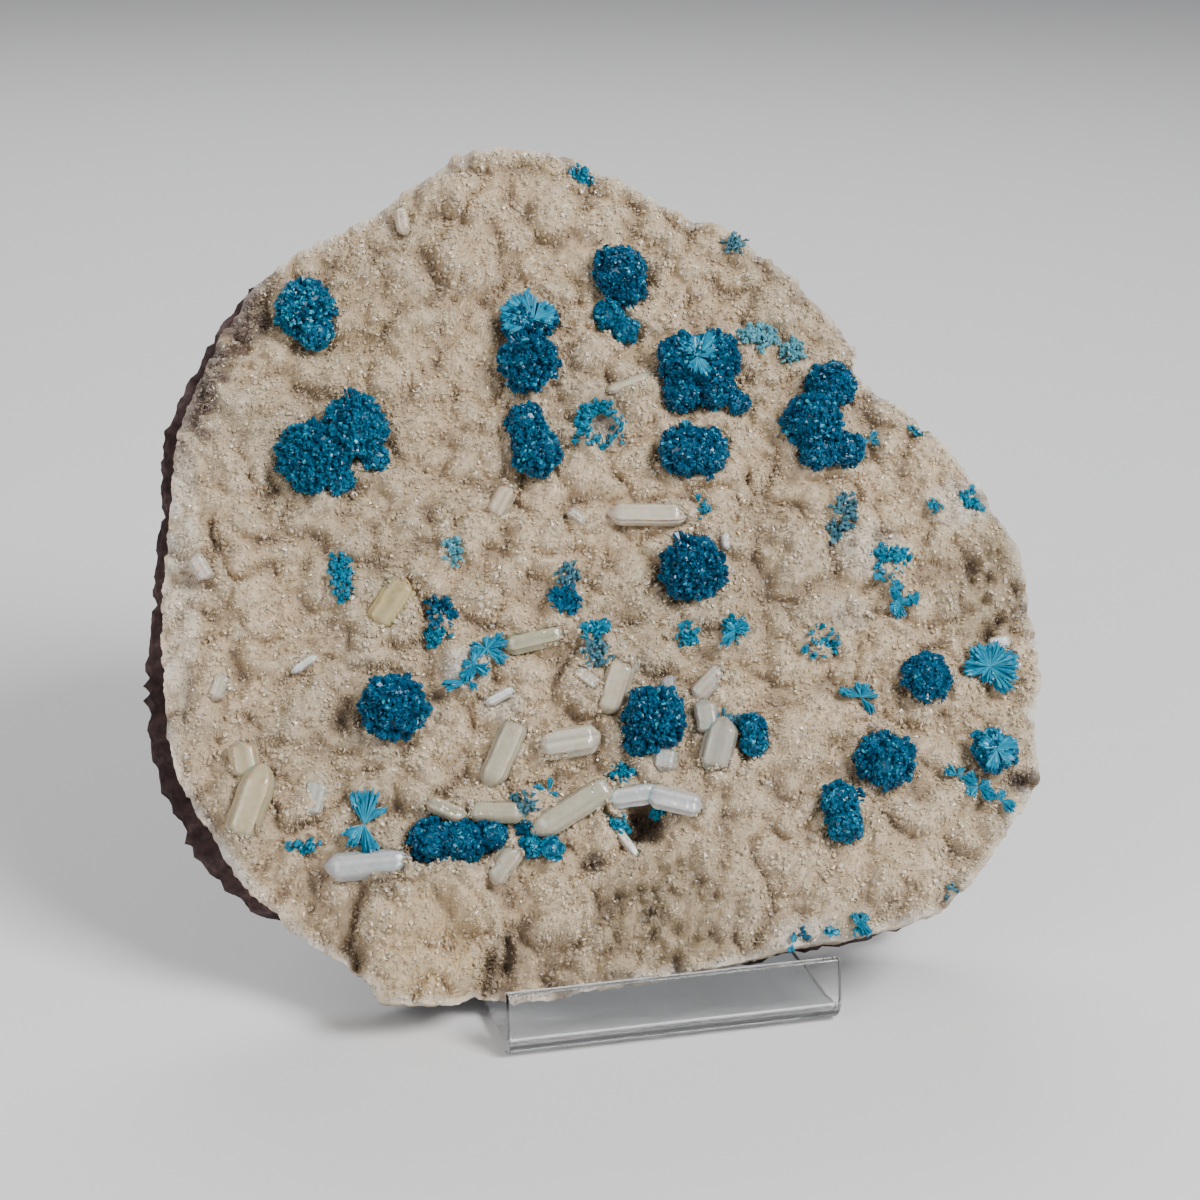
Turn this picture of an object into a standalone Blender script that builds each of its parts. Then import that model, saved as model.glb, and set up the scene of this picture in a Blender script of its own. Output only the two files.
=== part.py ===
"""A cavansite specimen on a clear bent-sheet easel, in metres, +Z up.

The easel's lip runs along X and faces -Y, and the origin is on the table, under the easel's shelf.
The stone is laid out in its face frame, in millimetres: u runs to the right across the face, v runs up
along it, and w stands out of it. A parent empty leans that frame back against the easel.
"""

import math

import bmesh
import bpy
import numpy as np
from mathutils import Matrix, Vector, noise
from mathutils.bvhtree import BVHTree

MM = 0.001
GAP = 0.3  # between pieces that touch, mm

# The leaning face
FACE_CENTRE = (-3.9, 16.5, 61.5)
FACE_LEAN = math.radians(33)
FACE_TURN = math.radians(-11)

# The easel, mm
STAND_WIDTH = 51.0
SHEET = 2.0
LIP_FRONT_Y = -20.0
LIP_HEIGHT = 10.2
LIP_LEAN = math.radians(11)
REST_Y = 8.6
REST_HEIGHT = 70.0
REST_LEAN = math.radians(33)
STRUT_FOOT_Y = 62.0
BEND_RADIUS = 3.0
BEND_STEPS = 4

# The slab, mm
CRUST_GRID = 24
BASALT_GRID = 14
PLANE_DEPTH = 8.0  # where the crust meets the basalt, at the middle of the face
PLANE_SLOPE_U = -0.03
PLANE_SLOPE_V = 0.04
BACK_DEPTH = 25.0
BACK_SLOPE_U = 0.17
BACK_DEEPEST = 32.0
BACK_STEPS = 5.0
STEP_SIZE = 22.0  # one conchoidal step of the broken back
STEP_LAYER = 3.7
HIDDEN_INSET = 1.2  # the basalt lies this far inside the crust's edge where the crust wraps round it
BARE_RIM = 0.5  # the basalt shows where its outline is further out than the crust's by this much
BASALT_EDGE_RISE = 4.0  # the broken back rounds off this far towards the edge

# Outline of the whole slab, (u, v) clockwise from the top
OUTLINE = (
    (-20, 68), (-13, 69), (-6, 69), (2, 65.8), (9, 61), (16, 57.5), (24, 55), (29.7, 50), (34.7, 45.3),
    (39.5, 40), (41.5, 36), (41, 33), (44.5, 30), (49.7, 25.2), (56.3, 18.2), (61, 12), (65, 5.7),
    (66.9, -4), (67, -10), (67.8, -15.5), (65.6, -22), (66.3, -29), (66.6, -32), (61.7, -38.7),
    (57.5, -44.6), (50.6, -51.6), (40, -54.8), (29.5, -56.3), (20, -58.8), (10.7, -60.2), (-2, -62),
    (-13, -63.3), (-19, -62.4), (-21.8, -64), (-33.4, -63.8), (-35.7, -59.6), (-39.3, -57.2),
    (-47.4, -51.8), (-53.4, -48), (-59.2, -42.5), (-63.2, -35.3), (-66.7, -26.8), (-67.8, -16),
    (-67, -1), (-66, 11), (-65.2, 24.4), (-63, 31), (-57.2, 41.3), (-52.6, 48), (-46, 51),
    (-39.4, 54.8), (-31.7, 59.5), (-24.3, 65),
)

# The crust's own edge on the left, where the bare basalt shows as a rim outside it
CRUST_LEFT_EDGE = (
    (-48, -50.5), (-52.3, -47), (-57.3, -39.3), (-62, -31.5), (-64.3, -24), (-64.8, -14), (-65, 0),
    (-64, 12), (-63, 23), (-60.5, 30), (-55.5, 41), (-51, 47.5),
)

# Broad swells and hollows of the crust: (u, v, radius, height)
SWELLS = (
    (-56, 22, 9, 3.0),
    (-15, 60, 15, 1.2),
    (8, 59, 7, 1.0),
    (-44, 45, 9, -1.0),
    (17, 40.5, 3.2, -1.6),
    (1.5, 23.4, 3.0, -2.0),
    (-14, -62, 12, -8.0),
    (-45, -54, 11, -3.5),
    (28, -50, 22, 2.2),
    (55, -36, 14, 1.2),
    (6.2, -39, 4.0, -3.6),
    (64, -32.5, 3.0, -2.5),
    (-38, -22, 3.0, -1.6),
    (60, -5, 9, -1.0),
)
CHUNK_CENTRE = (-25.5, -54.0)
CHUNK_HALF = (9.8, 11.0)
CHUNK_HEIGHT = 3.6
CHUNK_EDGE = 1.6
CHUNK_SKEW = 0.12
CHUNK_TIP = 0.10  # how much higher the block stands for each mm up the face
EDGE_DROP = 1.8
THINNEST = 2.0  # the crust is nowhere thinner than this
LUMP_SIZE = 9.0
LUMP_HEIGHT = 2.6
LUMP_LAYER = 0.4

# A point that stands out of the face looks shifted this far to the right and up for each mm of its height.
# The crystals' u and v below are as they look, and place() takes the shift off.
VIEW_SHIFT = (0.08, 0.25)

# Cavansite rosettes: name, then each ball as (u, v, radius, height of its middle over the crust)
ROSETTES = {
    "cavansite_top_left": ((-44.0, 42.4, 4.6, 1.4), (-42.3, 38.4, 2.9, 1.0)),
    "cavansite_big_left": ((-42.6, 18.8, 5.6, 1.8), (-36.2, 23.4, 5.1, 2.0), (-38.6, 15.0, 2.4, 1.0),
                           (-33.2, 18.6, 2.2, 1.0)),
    "cavansite_upper_centre": ((4.8, 48.6, 4.3, 1.8), (6.0, 45.8, 3.1, 1.2)),
    "cavansite_upper_small": ((3.0, 41.3, 2.7, 0.8), (5.5, 39.0, 2.3, 0.8)),
    "cavansite_fan_and_ball": ((-9.6, 33.8, 4.7, 2.0), (-11.0, 40.6, 3.2, 1.4), (-7.3, 40.6, 2.6, 1.4)),
    "cavansite_two_balls": ((-8.8, 19.4, 4.0, 1.8), (-10.4, 24.2, 3.1, 1.4)),
    "cavansite_square": ((14.4, 34.0, 4.4, 1.6), (18.8, 34.2, 4.4, 1.6), (14.0, 28.8, 3.2, 1.2),
                         (19.2, 29.2, 3.2, 1.2), (22.4, 27.2, 2.0, 0.8)),
    "cavansite_below_square": ((13.9, 19.6, 4.0, 1.8), (17.1, 19.4, 3.9, 1.6)),
    "cavansite_right_trio": ((36.9, 29.8, 4.0, 1.6), (34.0, 24.2, 4.6, 2.2), (34.6, 19.4, 3.2, 1.6),
                             (39.0, 19.9, 3.0, 1.2)),
    "cavansite_centre": ((14.7, 1.1, 5.1, 2.0),),
    "cavansite_left_ball": ((-30.8, -19.8, 5.1, 2.2),),
    "cavansite_lower_centre": ((8.0, -21.8, 4.9, 2.2), (5.4, -26.2, 2.1, 0.8)),
    "cavansite_behind_blades": ((22.9, -26.0, 2.3, 0.8), (22.8, -23.5, 2.2, 0.8)),
    "cavansite_bottom_dark": ((-25.2, -40.0, 3.5, 1.0), (-20.9, -40.2, 3.4, 1.0), (-16.6, -39.4, 2.6, 0.6)),
    "cavansite_bright": ((-10.6, -41.2, 1.8, 0.8), (-7.6, -41.4, 1.9, 0.8)),
    "cavansite_double": ((35.4, -34.7, 3.0, 1.5), (36.0, -38.3, 3.0, 1.5)),
    "cavansite_lower_right": ((42.5, -28.7, 4.5, 1.9),),
    "cavansite_right_ball": ((49.4, -16.1, 3.8, 1.6),),
    "cavansite_far_right": ((58.4, -26.8, 2.9, 1.2), (60.4, -27.6, 2.5, 1.2), (58.9, -29.2, 2.0, 0.8)),
}
LARGE_BALL = 4.2  # a ball at least this big gets the finer mesh
LARGE_FACES = (10, 6)  # segments round, rings from pole to pole
SMALL_FACES = (7, 5)
BALL_FOOT = 0.6  # a ball is cut flat this share of its radius below its middle
KNOBS = 0.16
SEED_STEP = 5.3  # keeps the knobs of one rosette unlike the next one's
KNOB_SPACING = 3.3  # about this many knobs across a ball
WELL_SIDES = 7
WELL_FLOOR = 0.84  # the well's floor, as a share of its mouth

# Open fans of cavansite blades: name, centre of the rays (u, v), then each petal as
# (angle, length, half width)
FANS = {
    "cavansite_fan_cluster": ((59.6, -14.6), ((15, 4.6, 2.3), (75, 4.0, 2.2), (130, 4.2, 2.2),
                                              (185, 4.6, 1.9), (245, 3.0, 1.9), (312, 4.9, 2.4))),
    "cavansite_bowtie": ((-35.2, -37.5), ((106, 5.3, 1.3), (78, 5.5, 1.6), (40, 4.2, 0.8),
                                          (207, 3.6, 0.8), (238, 4.1, 1.3), (283, 5.0, 1.6))),
}
FAN_HEIGHT = 1.5
PETAL_ROOT = 0.45
PETAL_SIDES = 6

# Stilbite blades: name, then each crystal as
# (u, v, angle, length, width, thickness, height over the crust, tilt)
BLADES = {
    "stilbite_left_plate": ((-31.0, -4.0, 58, 8.4, 5.0, 2.0, 0.6, 8),),
    "stilbite_corner_blade": ((-51.8, -34.0, 70, 11.6, 5.2, 3.0, 0.8, 6),
                              (-52.8, -27.7, 100, 5.5, 4.6, 2.4, 0.4, 4)),
    "stilbite_satin_bar": ((-34.6, -43.5, 4, 12.6, 4.2, 3.2, 1.0, 3),),
    "stilbite_centre_bar": ((8.0, 9.4, -2, 11.8, 3.5, 2.8, 0.8, 3),),
    "stilbite_nub": ((-14.1, 11.8, 60, 5.4, 3.3, 2.6, 0.6, 20),),
    "stilbite_sliver": ((5.6, 30.4, 20, 7.0, 1.6, 1.6, 0.4, 4),),
    "stilbite_green_bar": ((-9.6, -10.0, 12, 9.6, 3.0, 2.4, 0.6, 4),),
    "stilbite_tooth": ((2.3, -17.2, 72, 8.6, 4.2, 3.0, 1.2, 14),),
    "stilbite_wedge": ((-1.9, -15.8, -40, 5.0, 2.4, 2.0, 0.8, 6),),
    "stilbite_streaked": ((16.4, -16.8, 45, 6.6, 3.0, 2.0, 0.8, 10),),
    "stilbite_grey_pair": ((17.6, -26.0, 75, 8.2, 5.2, 3.4, 1.0, 8),
                           (15.8, -21.8, 98, 5.0, 3.6, 2.6, 1.1, 6)),
    "stilbite_pointed": ((-4.8, -25.6, 8, 9.4, 4.6, 3.2, 1.2, 5),),
    "stilbite_leaning_tooth": ((-14.6, -27.0, 65, 11.0, 4.2, 3.2, 1.2, 10),),
    "stilbite_ledge": ((-15.8, -35.9, -3, 8.4, 3.2, 2.4, 1.4, 4),),
    "stilbite_ledge_left": ((-23.2, -35.4, -24, 6.6, 2.6, 2.2, 1.2, 4),),
    "stilbite_small_tooth": ((-14.6, -43.5, 52, 6.4, 3.3, 2.4, 1.6, 12),),
    "stilbite_long_blade": ((-4.4, -35.4, 31, 14.0, 4.0, 2.8, 1.6, 5),),
    "stilbite_needle": ((2.4, -39.4, -55, 11.0, 1.5, 1.5, 0.8, 4),),
    "stilbite_arch": ((4.6, -33.6, 8, 8.4, 3.2, 2.6, 2.6, 3), (10.6, -34.4, -14, 8.4, 3.6, 2.6, 2.4, 3)),
}
BLADE_SIDES = 6
BLADE_POINT = 0.22
SOCKET_SWELL = 1.3  # a socket's corners move out this many gaps, so its flat sides clear the crystal

# The strut ends this share of half a sheet above the table
STRUT_FOOT = 0.15

# Reach of the boxes that seat the stone, mm
FAR = 160


def clear_scene():
    for obj in list(bpy.data.objects):
        bpy.data.objects.remove(obj, do_unlink=True)


def make_material(name, colour, roughness, transmission=0.0, ior=1.5):
    material = bpy.data.materials.new(name)
    material.use_nodes = True
    shader = material.node_tree.nodes["Principled BSDF"]
    shader.inputs["Base Color"].default_value = (*colour, 1)
    shader.inputs["Roughness"].default_value = roughness
    shader.inputs["Metallic"].default_value = 0
    shader.inputs["Transmission Weight"].default_value = transmission
    shader.inputs["IOR"].default_value = ior
    return material


def make_collections():
    parts = bpy.data.collections.new("cavansite_specimen")
    cutters = bpy.data.collections.new("cutters")
    for collection in (parts, cutters):
        bpy.context.scene.collection.children.link(collection)
    return parts, cutters


def make_face_frame(parts):
    """The empty whose X, Y and Z are the face's u, v and w."""
    frame = bpy.data.objects.new("face_frame", None)
    lean = Matrix.Rotation(math.pi / 2 - FACE_LEAN, 4, "X")
    turn = Matrix.Rotation(FACE_TURN, 4, "Z")
    frame.matrix_world = Matrix.Translation(Vector(FACE_CENTRE) * MM) @ turn @ lean
    parts.objects.link(frame)
    return frame


def make_object(name, bm, collection, material=None, parent=None):
    """Turns a bmesh in millimetres into an object in metres."""
    bmesh.ops.scale(bm, vec=(MM, MM, MM), verts=bm.verts)
    mesh = bpy.data.meshes.new(name)
    bm.to_mesh(mesh)
    bm.free()
    obj = bpy.data.objects.new(name, mesh)
    obj.parent = parent
    collection.objects.link(obj)
    if material:
        mesh.materials.append(material)
    return obj


def as_cutter(obj):
    obj.hide_render = True
    obj.display_type = "WIRE"
    return obj


def polar_radius(points):
    """A function from an angle about the face's centre to the outline's radius there."""
    angles = np.array([math.atan2(v, u) for u, v in points])
    radii = np.array([math.hypot(u, v) for u, v in points])
    order = np.argsort(angles)
    return lambda angle: float(np.interp(angle, angles[order], radii[order], period=2 * math.pi))


def crust_outline():
    """The slab's outline with its left side taken from the crust's own edge."""
    low = math.atan2(CRUST_LEFT_EDGE[0][1], CRUST_LEFT_EDGE[0][0]) % (2 * math.pi)
    high = math.atan2(CRUST_LEFT_EDGE[-1][1], CRUST_LEFT_EDGE[-1][0]) % (2 * math.pi)
    kept = [p for p in OUTLINE if not high <= math.atan2(p[1], p[0]) % (2 * math.pi) <= low]
    return kept + list(CRUST_LEFT_EDGE)


def basalt_outline():
    """The slab's outline, drawn in a little wherever the crust wraps round the basalt."""
    crust_radius = polar_radius(crust_outline())
    points = []
    for u, v in OUTLINE:
        radius = math.hypot(u, v)
        bare = radius > crust_radius(math.atan2(v, u)) + BARE_RIM
        scale = 1 if bare else (radius - HIDDEN_INSET) / radius
        points.append((u * scale, v * scale))
    return points


def step_up(distance, width):
    """0 to 1 over a width, as the distance inside an edge grows."""
    t = min(max(distance / width + 0.5, 0), 1)
    return t * t * (3 - 2 * t)


def chunk_height(u, v):
    """The broken block at the lower left: flat-topped, steep-sided, tipped back towards the bottom."""
    inside_u = CHUNK_HALF[0] - abs(u - CHUNK_CENTRE[0] - CHUNK_SKEW * (v - CHUNK_CENTRE[1]))
    inside_v = CHUNK_HALF[1] - abs(v - CHUNK_CENTRE[1])
    if v < CHUNK_CENTRE[1]:
        inside_v = CHUNK_HALF[1]
    rise = step_up(inside_u, CHUNK_EDGE) * step_up(inside_v, CHUNK_EDGE)
    return rise * (CHUNK_HEIGHT + CHUNK_TIP * (v - CHUNK_CENTRE[1]))


def lumps(u, v):
    """Rounded druse lumps, one to each cell."""
    distance = noise.voronoi(Vector((u / LUMP_SIZE, v / LUMP_SIZE, LUMP_LAYER)))[0][0]
    return LUMP_HEIGHT * (0.5 - distance * distance)


def crust_height(u, v):
    height = chunk_height(u, v) + lumps(u, v)
    for centre_u, centre_v, radius, rise in SWELLS:
        height += rise * math.exp(-((u - centre_u) ** 2 + (v - centre_v) ** 2) / radius ** 2)
    return max(height, plane_height(u, v) + THINNEST + EDGE_DROP)


def place(u, v, rise):
    """The true place of a point that looks to be at (u, v), this far over the crust."""
    w = crust_height(u, v) + rise
    return Vector((u - VIEW_SHIFT[0] * w, v - VIEW_SHIFT[1] * w, w))


def plane_height(u, v):
    """The flat plane on which the crust grew."""
    return -PLANE_DEPTH + PLANE_SLOPE_U * u + PLANE_SLOPE_V * v


def back_height(u, v):
    """The broken back of the basalt, thicker to the right, with conchoidal steps."""
    depth = min(BACK_DEPTH + BACK_SLOPE_U * u, BACK_DEEPEST)
    steps = noise.voronoi(Vector((u / STEP_SIZE, v / STEP_SIZE, STEP_LAYER)))[0]
    return -depth + BACK_STEPS * (steps[1] - steps[0])


def disc_from_square(x, y):
    """Maps the square from -1 to 1 to the unit disc: (share of the radius, angle)."""
    if x == 0 and y == 0:
        return 0.0, 0.0
    if abs(x) > abs(y):
        radius, angle = x, math.pi / 4 * (y / x)
    else:
        radius, angle = y, math.pi / 2 - math.pi / 4 * (x / y)
    if radius < 0:
        radius, angle = -radius, angle + math.pi
    return radius, angle


def slab_mesh(outline, cells, free_side, flat_side, edge_drop):
    """A closed slab: a relief over a grid on one side, a flat plane on the other, ending at the outline."""
    radius_at = polar_radius(outline)
    bm = bmesh.new()
    bmesh.ops.create_grid(bm, x_segments=cells, y_segments=cells, size=1)
    for vert in bm.verts:
        share, angle = disc_from_square(vert.co.x, vert.co.y)
        radius = share * radius_at(angle)
        u, v = radius * math.cos(angle), radius * math.sin(angle)
        vert.co = (u, v, free_side(u, v) - edge_drop * share ** 10)
    border = [edge for edge in bm.edges if edge.is_boundary]
    made = bmesh.ops.extrude_edge_only(bm, edges=border)["geom"]
    rim = [item for item in made if isinstance(item, bmesh.types.BMVert)]
    for vert in rim:
        vert.co.z = flat_side(vert.co.x, vert.co.y)
    bmesh.ops.holes_fill(bm, edges=[edge for edge in bm.edges if edge.is_boundary], sides=0)
    bmesh.ops.recalc_face_normals(bm, faces=bm.faces)
    return bm


def make_crust(parts, frame, material):
    bm = slab_mesh(crust_outline(), CRUST_GRID, crust_height, plane_height, EDGE_DROP)
    return make_object("zeolite_crust", bm, parts, material, frame)


def make_basalt(parts, frame, material):
    def under_plane(u, v):
        return plane_height(u, v) - GAP

    bm = slab_mesh(basalt_outline(), BASALT_GRID, back_height, under_plane, -BASALT_EDGE_RISE)
    return make_object("basalt_matrix", bm, parts, material, frame)


def knobbly_ball(centre, radius, seed):
    """A rosette's ball with knobs, cut flat where it grew from the crust."""
    bm = bmesh.new()
    segments, rings = LARGE_FACES if radius >= LARGE_BALL else SMALL_FACES
    bmesh.ops.create_uvsphere(bm, u_segments=segments, v_segments=rings, radius=radius)
    for vert in bm.verts:
        knob = noise.noise(vert.co.normalized() * KNOB_SPACING + Vector((seed, 0, 0)))
        vert.co *= 1 + KNOBS * knob
    every = bm.verts[:] + bm.edges[:] + bm.faces[:]
    foot = (0, 0, -BALL_FOOT * radius)
    bmesh.ops.bisect_plane(bm, geom=every, plane_co=foot, plane_no=(0, 0, -1), clear_outer=True)
    bmesh.ops.holes_fill(bm, edges=[edge for edge in bm.edges if edge.is_boundary], sides=0)
    bmesh.ops.translate(bm, verts=bm.verts, vec=centre)
    return bm


def ball_well(centre, radius):
    """The round well that a ball leaves in the crust, a little wider and deeper than the ball."""
    reach = (radius * (1 + KNOBS / 2) + GAP) / math.cos(math.pi / WELL_SIDES)
    low = -BALL_FOOT * radius - GAP
    bm = bmesh.new()
    bmesh.ops.create_cone(bm, cap_ends=True, segments=WELL_SIDES, radius1=reach * WELL_FLOOR,
                          radius2=reach, depth=-low)
    bmesh.ops.translate(bm, verts=bm.verts, vec=(0, 0, low / 2))
    top = [face for face in bm.faces if face.normal.z > 0.9]
    raised = bmesh.ops.extrude_face_region(bm, geom=top)["geom"]
    bmesh.ops.delete(bm, geom=top, context="FACES")
    lifted = [item for item in raised if isinstance(item, bmesh.types.BMVert)]
    bmesh.ops.translate(bm, verts=lifted, vec=(0, 0, radius))
    bmesh.ops.translate(bm, verts=bm.verts, vec=centre)
    return bm


def fan_petal(centre, angle, length, half_width):
    """A petal of a fan: a flat cone that widens outwards, with a faceted rim."""
    bm = bmesh.new()
    bmesh.ops.create_cone(bm, cap_ends=True, segments=PETAL_SIDES, radius1=PETAL_ROOT,
                          radius2=half_width, depth=length)
    bmesh.ops.scale(bm, vec=(1, FAN_HEIGHT / half_width, 1), verts=bm.verts)
    bmesh.ops.translate(bm, verts=bm.verts, vec=(0, 0, length / 2))
    lay_down = Matrix.Rotation(math.pi / 2, 4, "Y")
    turn = Matrix.Rotation(math.radians(angle), 4, "Z")
    roll = Matrix.Rotation(math.pi / 2, 4, "Z")
    bmesh.ops.transform(bm, matrix=Matrix.Translation(centre) @ turn @ lay_down @ roll, verts=bm.verts)
    return bm


def blade_crystal(centre, angle, length, width, thickness, tilt):
    """A tabular crystal: a six-sided prism with a low point at each end."""
    bm = bmesh.new()
    shaft = length * (1 - BLADE_POINT)
    bmesh.ops.create_cone(bm, cap_ends=True, segments=BLADE_SIDES, radius1=1, radius2=1, depth=shaft)
    caps = [face for face in bm.faces if len(face.verts) == BLADE_SIDES]
    for vert in bmesh.ops.poke(bm, faces=caps)["verts"]:
        vert.co.z = math.copysign(length / 2, vert.co.z)
    bmesh.ops.scale(bm, vec=(thickness / 2, width / 2, 1), verts=bm.verts)
    lay_down = Matrix.Rotation(math.pi / 2, 4, "Y")
    lift = Matrix.Rotation(math.radians(-tilt), 4, "Y")
    turn = Matrix.Rotation(math.radians(angle), 4, "Z")
    bmesh.ops.transform(bm, matrix=Matrix.Translation(centre) @ turn @ lift @ lay_down, verts=bm.verts)
    return bm


def grown_together(name, shapes, parts, cutters, frame, material):
    """One object from crystals that grew into each other. Petals that share their foot need MANIFOLD."""
    obj = make_object(name, shapes[0], parts, material, frame)
    for number, shape in enumerate(shapes[1:], 1):
        other = as_cutter(make_object(f"{name}_lobe_{number}", shape, cutters, material, frame))
        modifier = obj.modifiers.new(f"lobe_{number}", "BOOLEAN")
        modifier.solver = "MANIFOLD" if name in FANS else "EXACT"
        modifier.operation = "UNION"
        modifier.object = other
    return obj


def swollen_copy(obj, cutters, frame):
    """The finished shape of a crystal, grown by the gap: what it leaves in its neighbours."""
    bpy.context.view_layer.update()
    graph = bpy.context.evaluated_depsgraph_get()
    mesh = bpy.data.meshes.new_from_object(obj.evaluated_get(graph))
    bm = bmesh.new()
    bm.from_mesh(mesh)
    bpy.data.meshes.remove(mesh)
    bm.normal_update()
    bmesh.ops.scale(bm, vec=(1 / MM, 1 / MM, 1 / MM), verts=bm.verts)
    for vert in bm.verts:
        vert.co += vert.normal * GAP * SOCKET_SWELL
    return as_cutter(make_object(f"{obj.name}_socket", bm, cutters, None, frame))


def tree_of(obj):
    bm = bmesh.new()
    bm.from_mesh(obj.data)
    tree = BVHTree.FromBMesh(bm)
    bm.free()
    return tree


def keep_clear(obj, sockets):
    """Cuts a crystal back from each earlier one that it would touch."""
    own = [tree_of(obj)] + [tree_of(lobe.object) for lobe in obj.modifiers]
    for socket in sockets:
        if any(tree.overlap(tree_of(socket)) for tree in own):
            modifier = obj.modifiers.new(f"clear_of_{socket.name}", "BOOLEAN")
            modifier.operation = "DIFFERENCE"
            modifier.object = socket


def make_crystals(parts, cutters, frame, blue, ivory):
    """All crystals, each kept clear of those before it. Returns the hollows that they leave in the crust."""
    swollen = []
    hollows = []

    def finish(name, shapes, material):
        obj = grown_together(name, shapes, parts, cutters, frame, material)
        keep_clear(obj, swollen)
        swollen.append(swollen_copy(obj, cutters, frame))

    for number, (name, balls) in enumerate(ROSETTES.items()):
        seats = [(place(u, v, rise), radius) for u, v, radius, rise in balls]
        seed = number * SEED_STEP
        finish(name, [knobbly_ball(*seat, seed + index) for index, seat in enumerate(seats)], blue)
        for index, seat in enumerate(seats):
            well = make_object(f"{name}_well_{index}", ball_well(*seat), cutters, None, frame)
            hollows.append(as_cutter(well))
    for name, ((u, v), petals) in FANS.items():
        middle = place(u, v, FAN_HEIGHT / 2)
        finish(name, [fan_petal(middle, *petal) for petal in petals], blue)
        hollows.append(swollen[-1])
    for name, crystals in BLADES.items():
        shapes = [blade_crystal(place(u, v, rise), angle, length, width, thickness, tilt)
                  for u, v, angle, length, width, thickness, rise, tilt in crystals]
        finish(name, shapes, ivory)
        hollows.append(swollen[-1])
    return hollows


def cut(obj, cutter):
    modifier = obj.modifiers.new(f"cut_{cutter.name}", "BOOLEAN")
    modifier.solver = "MANIFOLD"
    modifier.operation = "DIFFERENCE"
    modifier.object = cutter


def stand_profile():
    """Corners of the sheet's middle line in the YZ plane, from the lip's top to the strut's foot."""
    half = SHEET / 2
    lip_y = LIP_FRONT_Y + half
    lip_top = (lip_y + LIP_HEIGHT * math.tan(LIP_LEAN), LIP_HEIGHT)
    rest_foot = (REST_Y, half)
    rest_top = (REST_Y + REST_HEIGHT * math.tan(REST_LEAN), REST_HEIGHT)
    return [lip_top, (lip_y, half), rest_foot, rest_top, (STRUT_FOOT_Y, half * STRUT_FOOT)]


def rounded(corners, radius, steps):
    """The same line with its inner corners turned into arcs."""
    line = [corners[0]]
    for before, corner, after in zip(corners, corners[1:], corners[2:]):
        corner = Vector(corner)
        towards = (Vector(before) - corner).normalized()
        onwards = (Vector(after) - corner).normalized()
        half_angle = towards.angle(onwards) / 2
        centre = corner + (towards + onwards).normalized() * radius / math.sin(half_angle)
        start = corner + towards * radius / math.tan(half_angle) - centre
        end = corner + onwards * radius / math.tan(half_angle) - centre
        for step in range(steps + 1):
            line.append(tuple(centre + radius * start.slerp(end, step / steps)))
    line.append(corners[-1])
    return line


def make_stand(parts, material):
    """One bent sheet: a ribbon swept across X, thickened with Solidify."""
    bm = bmesh.new()
    line = rounded(stand_profile(), BEND_RADIUS, BEND_STEPS)
    verts = [bm.verts.new((-STAND_WIDTH / 2, y, z)) for y, z in line]
    edges = [bm.edges.new(pair) for pair in zip(verts, verts[1:])]
    made = bmesh.ops.extrude_edge_only(bm, edges=edges)["geom"]
    swept = [item for item in made if isinstance(item, bmesh.types.BMVert)]
    bmesh.ops.translate(bm, verts=swept, vec=(STAND_WIDTH, 0, 0))
    bmesh.ops.recalc_face_normals(bm, faces=bm.faces)
    obj = make_object("display_stand", bm, parts, material)
    solidify = obj.modifiers.new("sheet", "SOLIDIFY")
    solidify.thickness = SHEET * MM
    solidify.offset = 0
    solidify.use_even_offset = True
    return obj


def box_between(name, low, high, cutters):
    bm = bmesh.new()
    bmesh.ops.create_cube(bm, size=1)
    size = [b - a for a, b in zip(low, high)]
    bmesh.ops.scale(bm, vec=size, verts=bm.verts)
    bmesh.ops.translate(bm, verts=bm.verts, vec=[(a + b) / 2 for a, b in zip(low, high)])
    return as_cutter(make_object(name, bm, cutters))


def seat_cutters(cutters):
    """What the easel takes off the stone: all below the shelf's top, behind its rest and round its lip."""
    below = box_between("below_shelf", (-FAR, -FAR, -FAR), (FAR, FAR, SHEET + GAP), cutters)
    behind = box_between("behind_rest", (-FAR, -SHEET / 2 - GAP, -FAR), (FAR, FAR, FAR), cutters)
    foot = Matrix.Translation(Vector((0, REST_Y, SHEET / 2)) * MM)
    behind.matrix_world = foot @ Matrix.Rotation(-REST_LEAN, 4, "X")
    front = LIP_FRONT_Y - GAP
    reach = SHEET + LIP_HEIGHT * math.tan(LIP_LEAN) + 2 * GAP
    half = STAND_WIDTH / 2 + GAP
    lip = box_between("round_lip", (-half, front, 0), (half, front + reach, LIP_HEIGHT + 2 * GAP), cutters)
    return below, behind, lip


def main():
    clear_scene()
    parts, cutters = make_collections()
    frame = make_face_frame(parts)
    blue = make_material("cavansite_blue", (0.0, 0.11, 0.24), 0.35)
    ivory = make_material("stilbite_ivory", (0.62, 0.56, 0.42), 0.3)
    beige = make_material("zeolite_beige", (0.58, 0.48, 0.38), 0.55)
    brown = make_material("basalt_brown", (0.11, 0.06, 0.06), 0.85)
    clear = make_material("clear_acrylic", (0.95, 0.97, 0.98), 0.02, transmission=1.0, ior=1.49)
    crust = make_crust(parts, frame, beige)
    basalt = make_basalt(parts, frame, brown)
    for hollow in make_crystals(parts, cutters, frame, blue, ivory):
        cut(crust, hollow)
    make_stand(parts, clear)
    for cutter in seat_cutters(cutters):
        cut(crust, cutter)
        cut(basalt, cutter)


main()
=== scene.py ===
"""The looks of a cavansite specimen on its clear easel.

The stone is laid out in its face frame, in millimetres: u runs to the right across the face, v runs up
along it and w stands out of it. Every mesh is then turned into the row frame, in metres.
"""

import math

import bmesh
import bpy
import numpy as np
from mathutils import Matrix, Vector, noise


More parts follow.
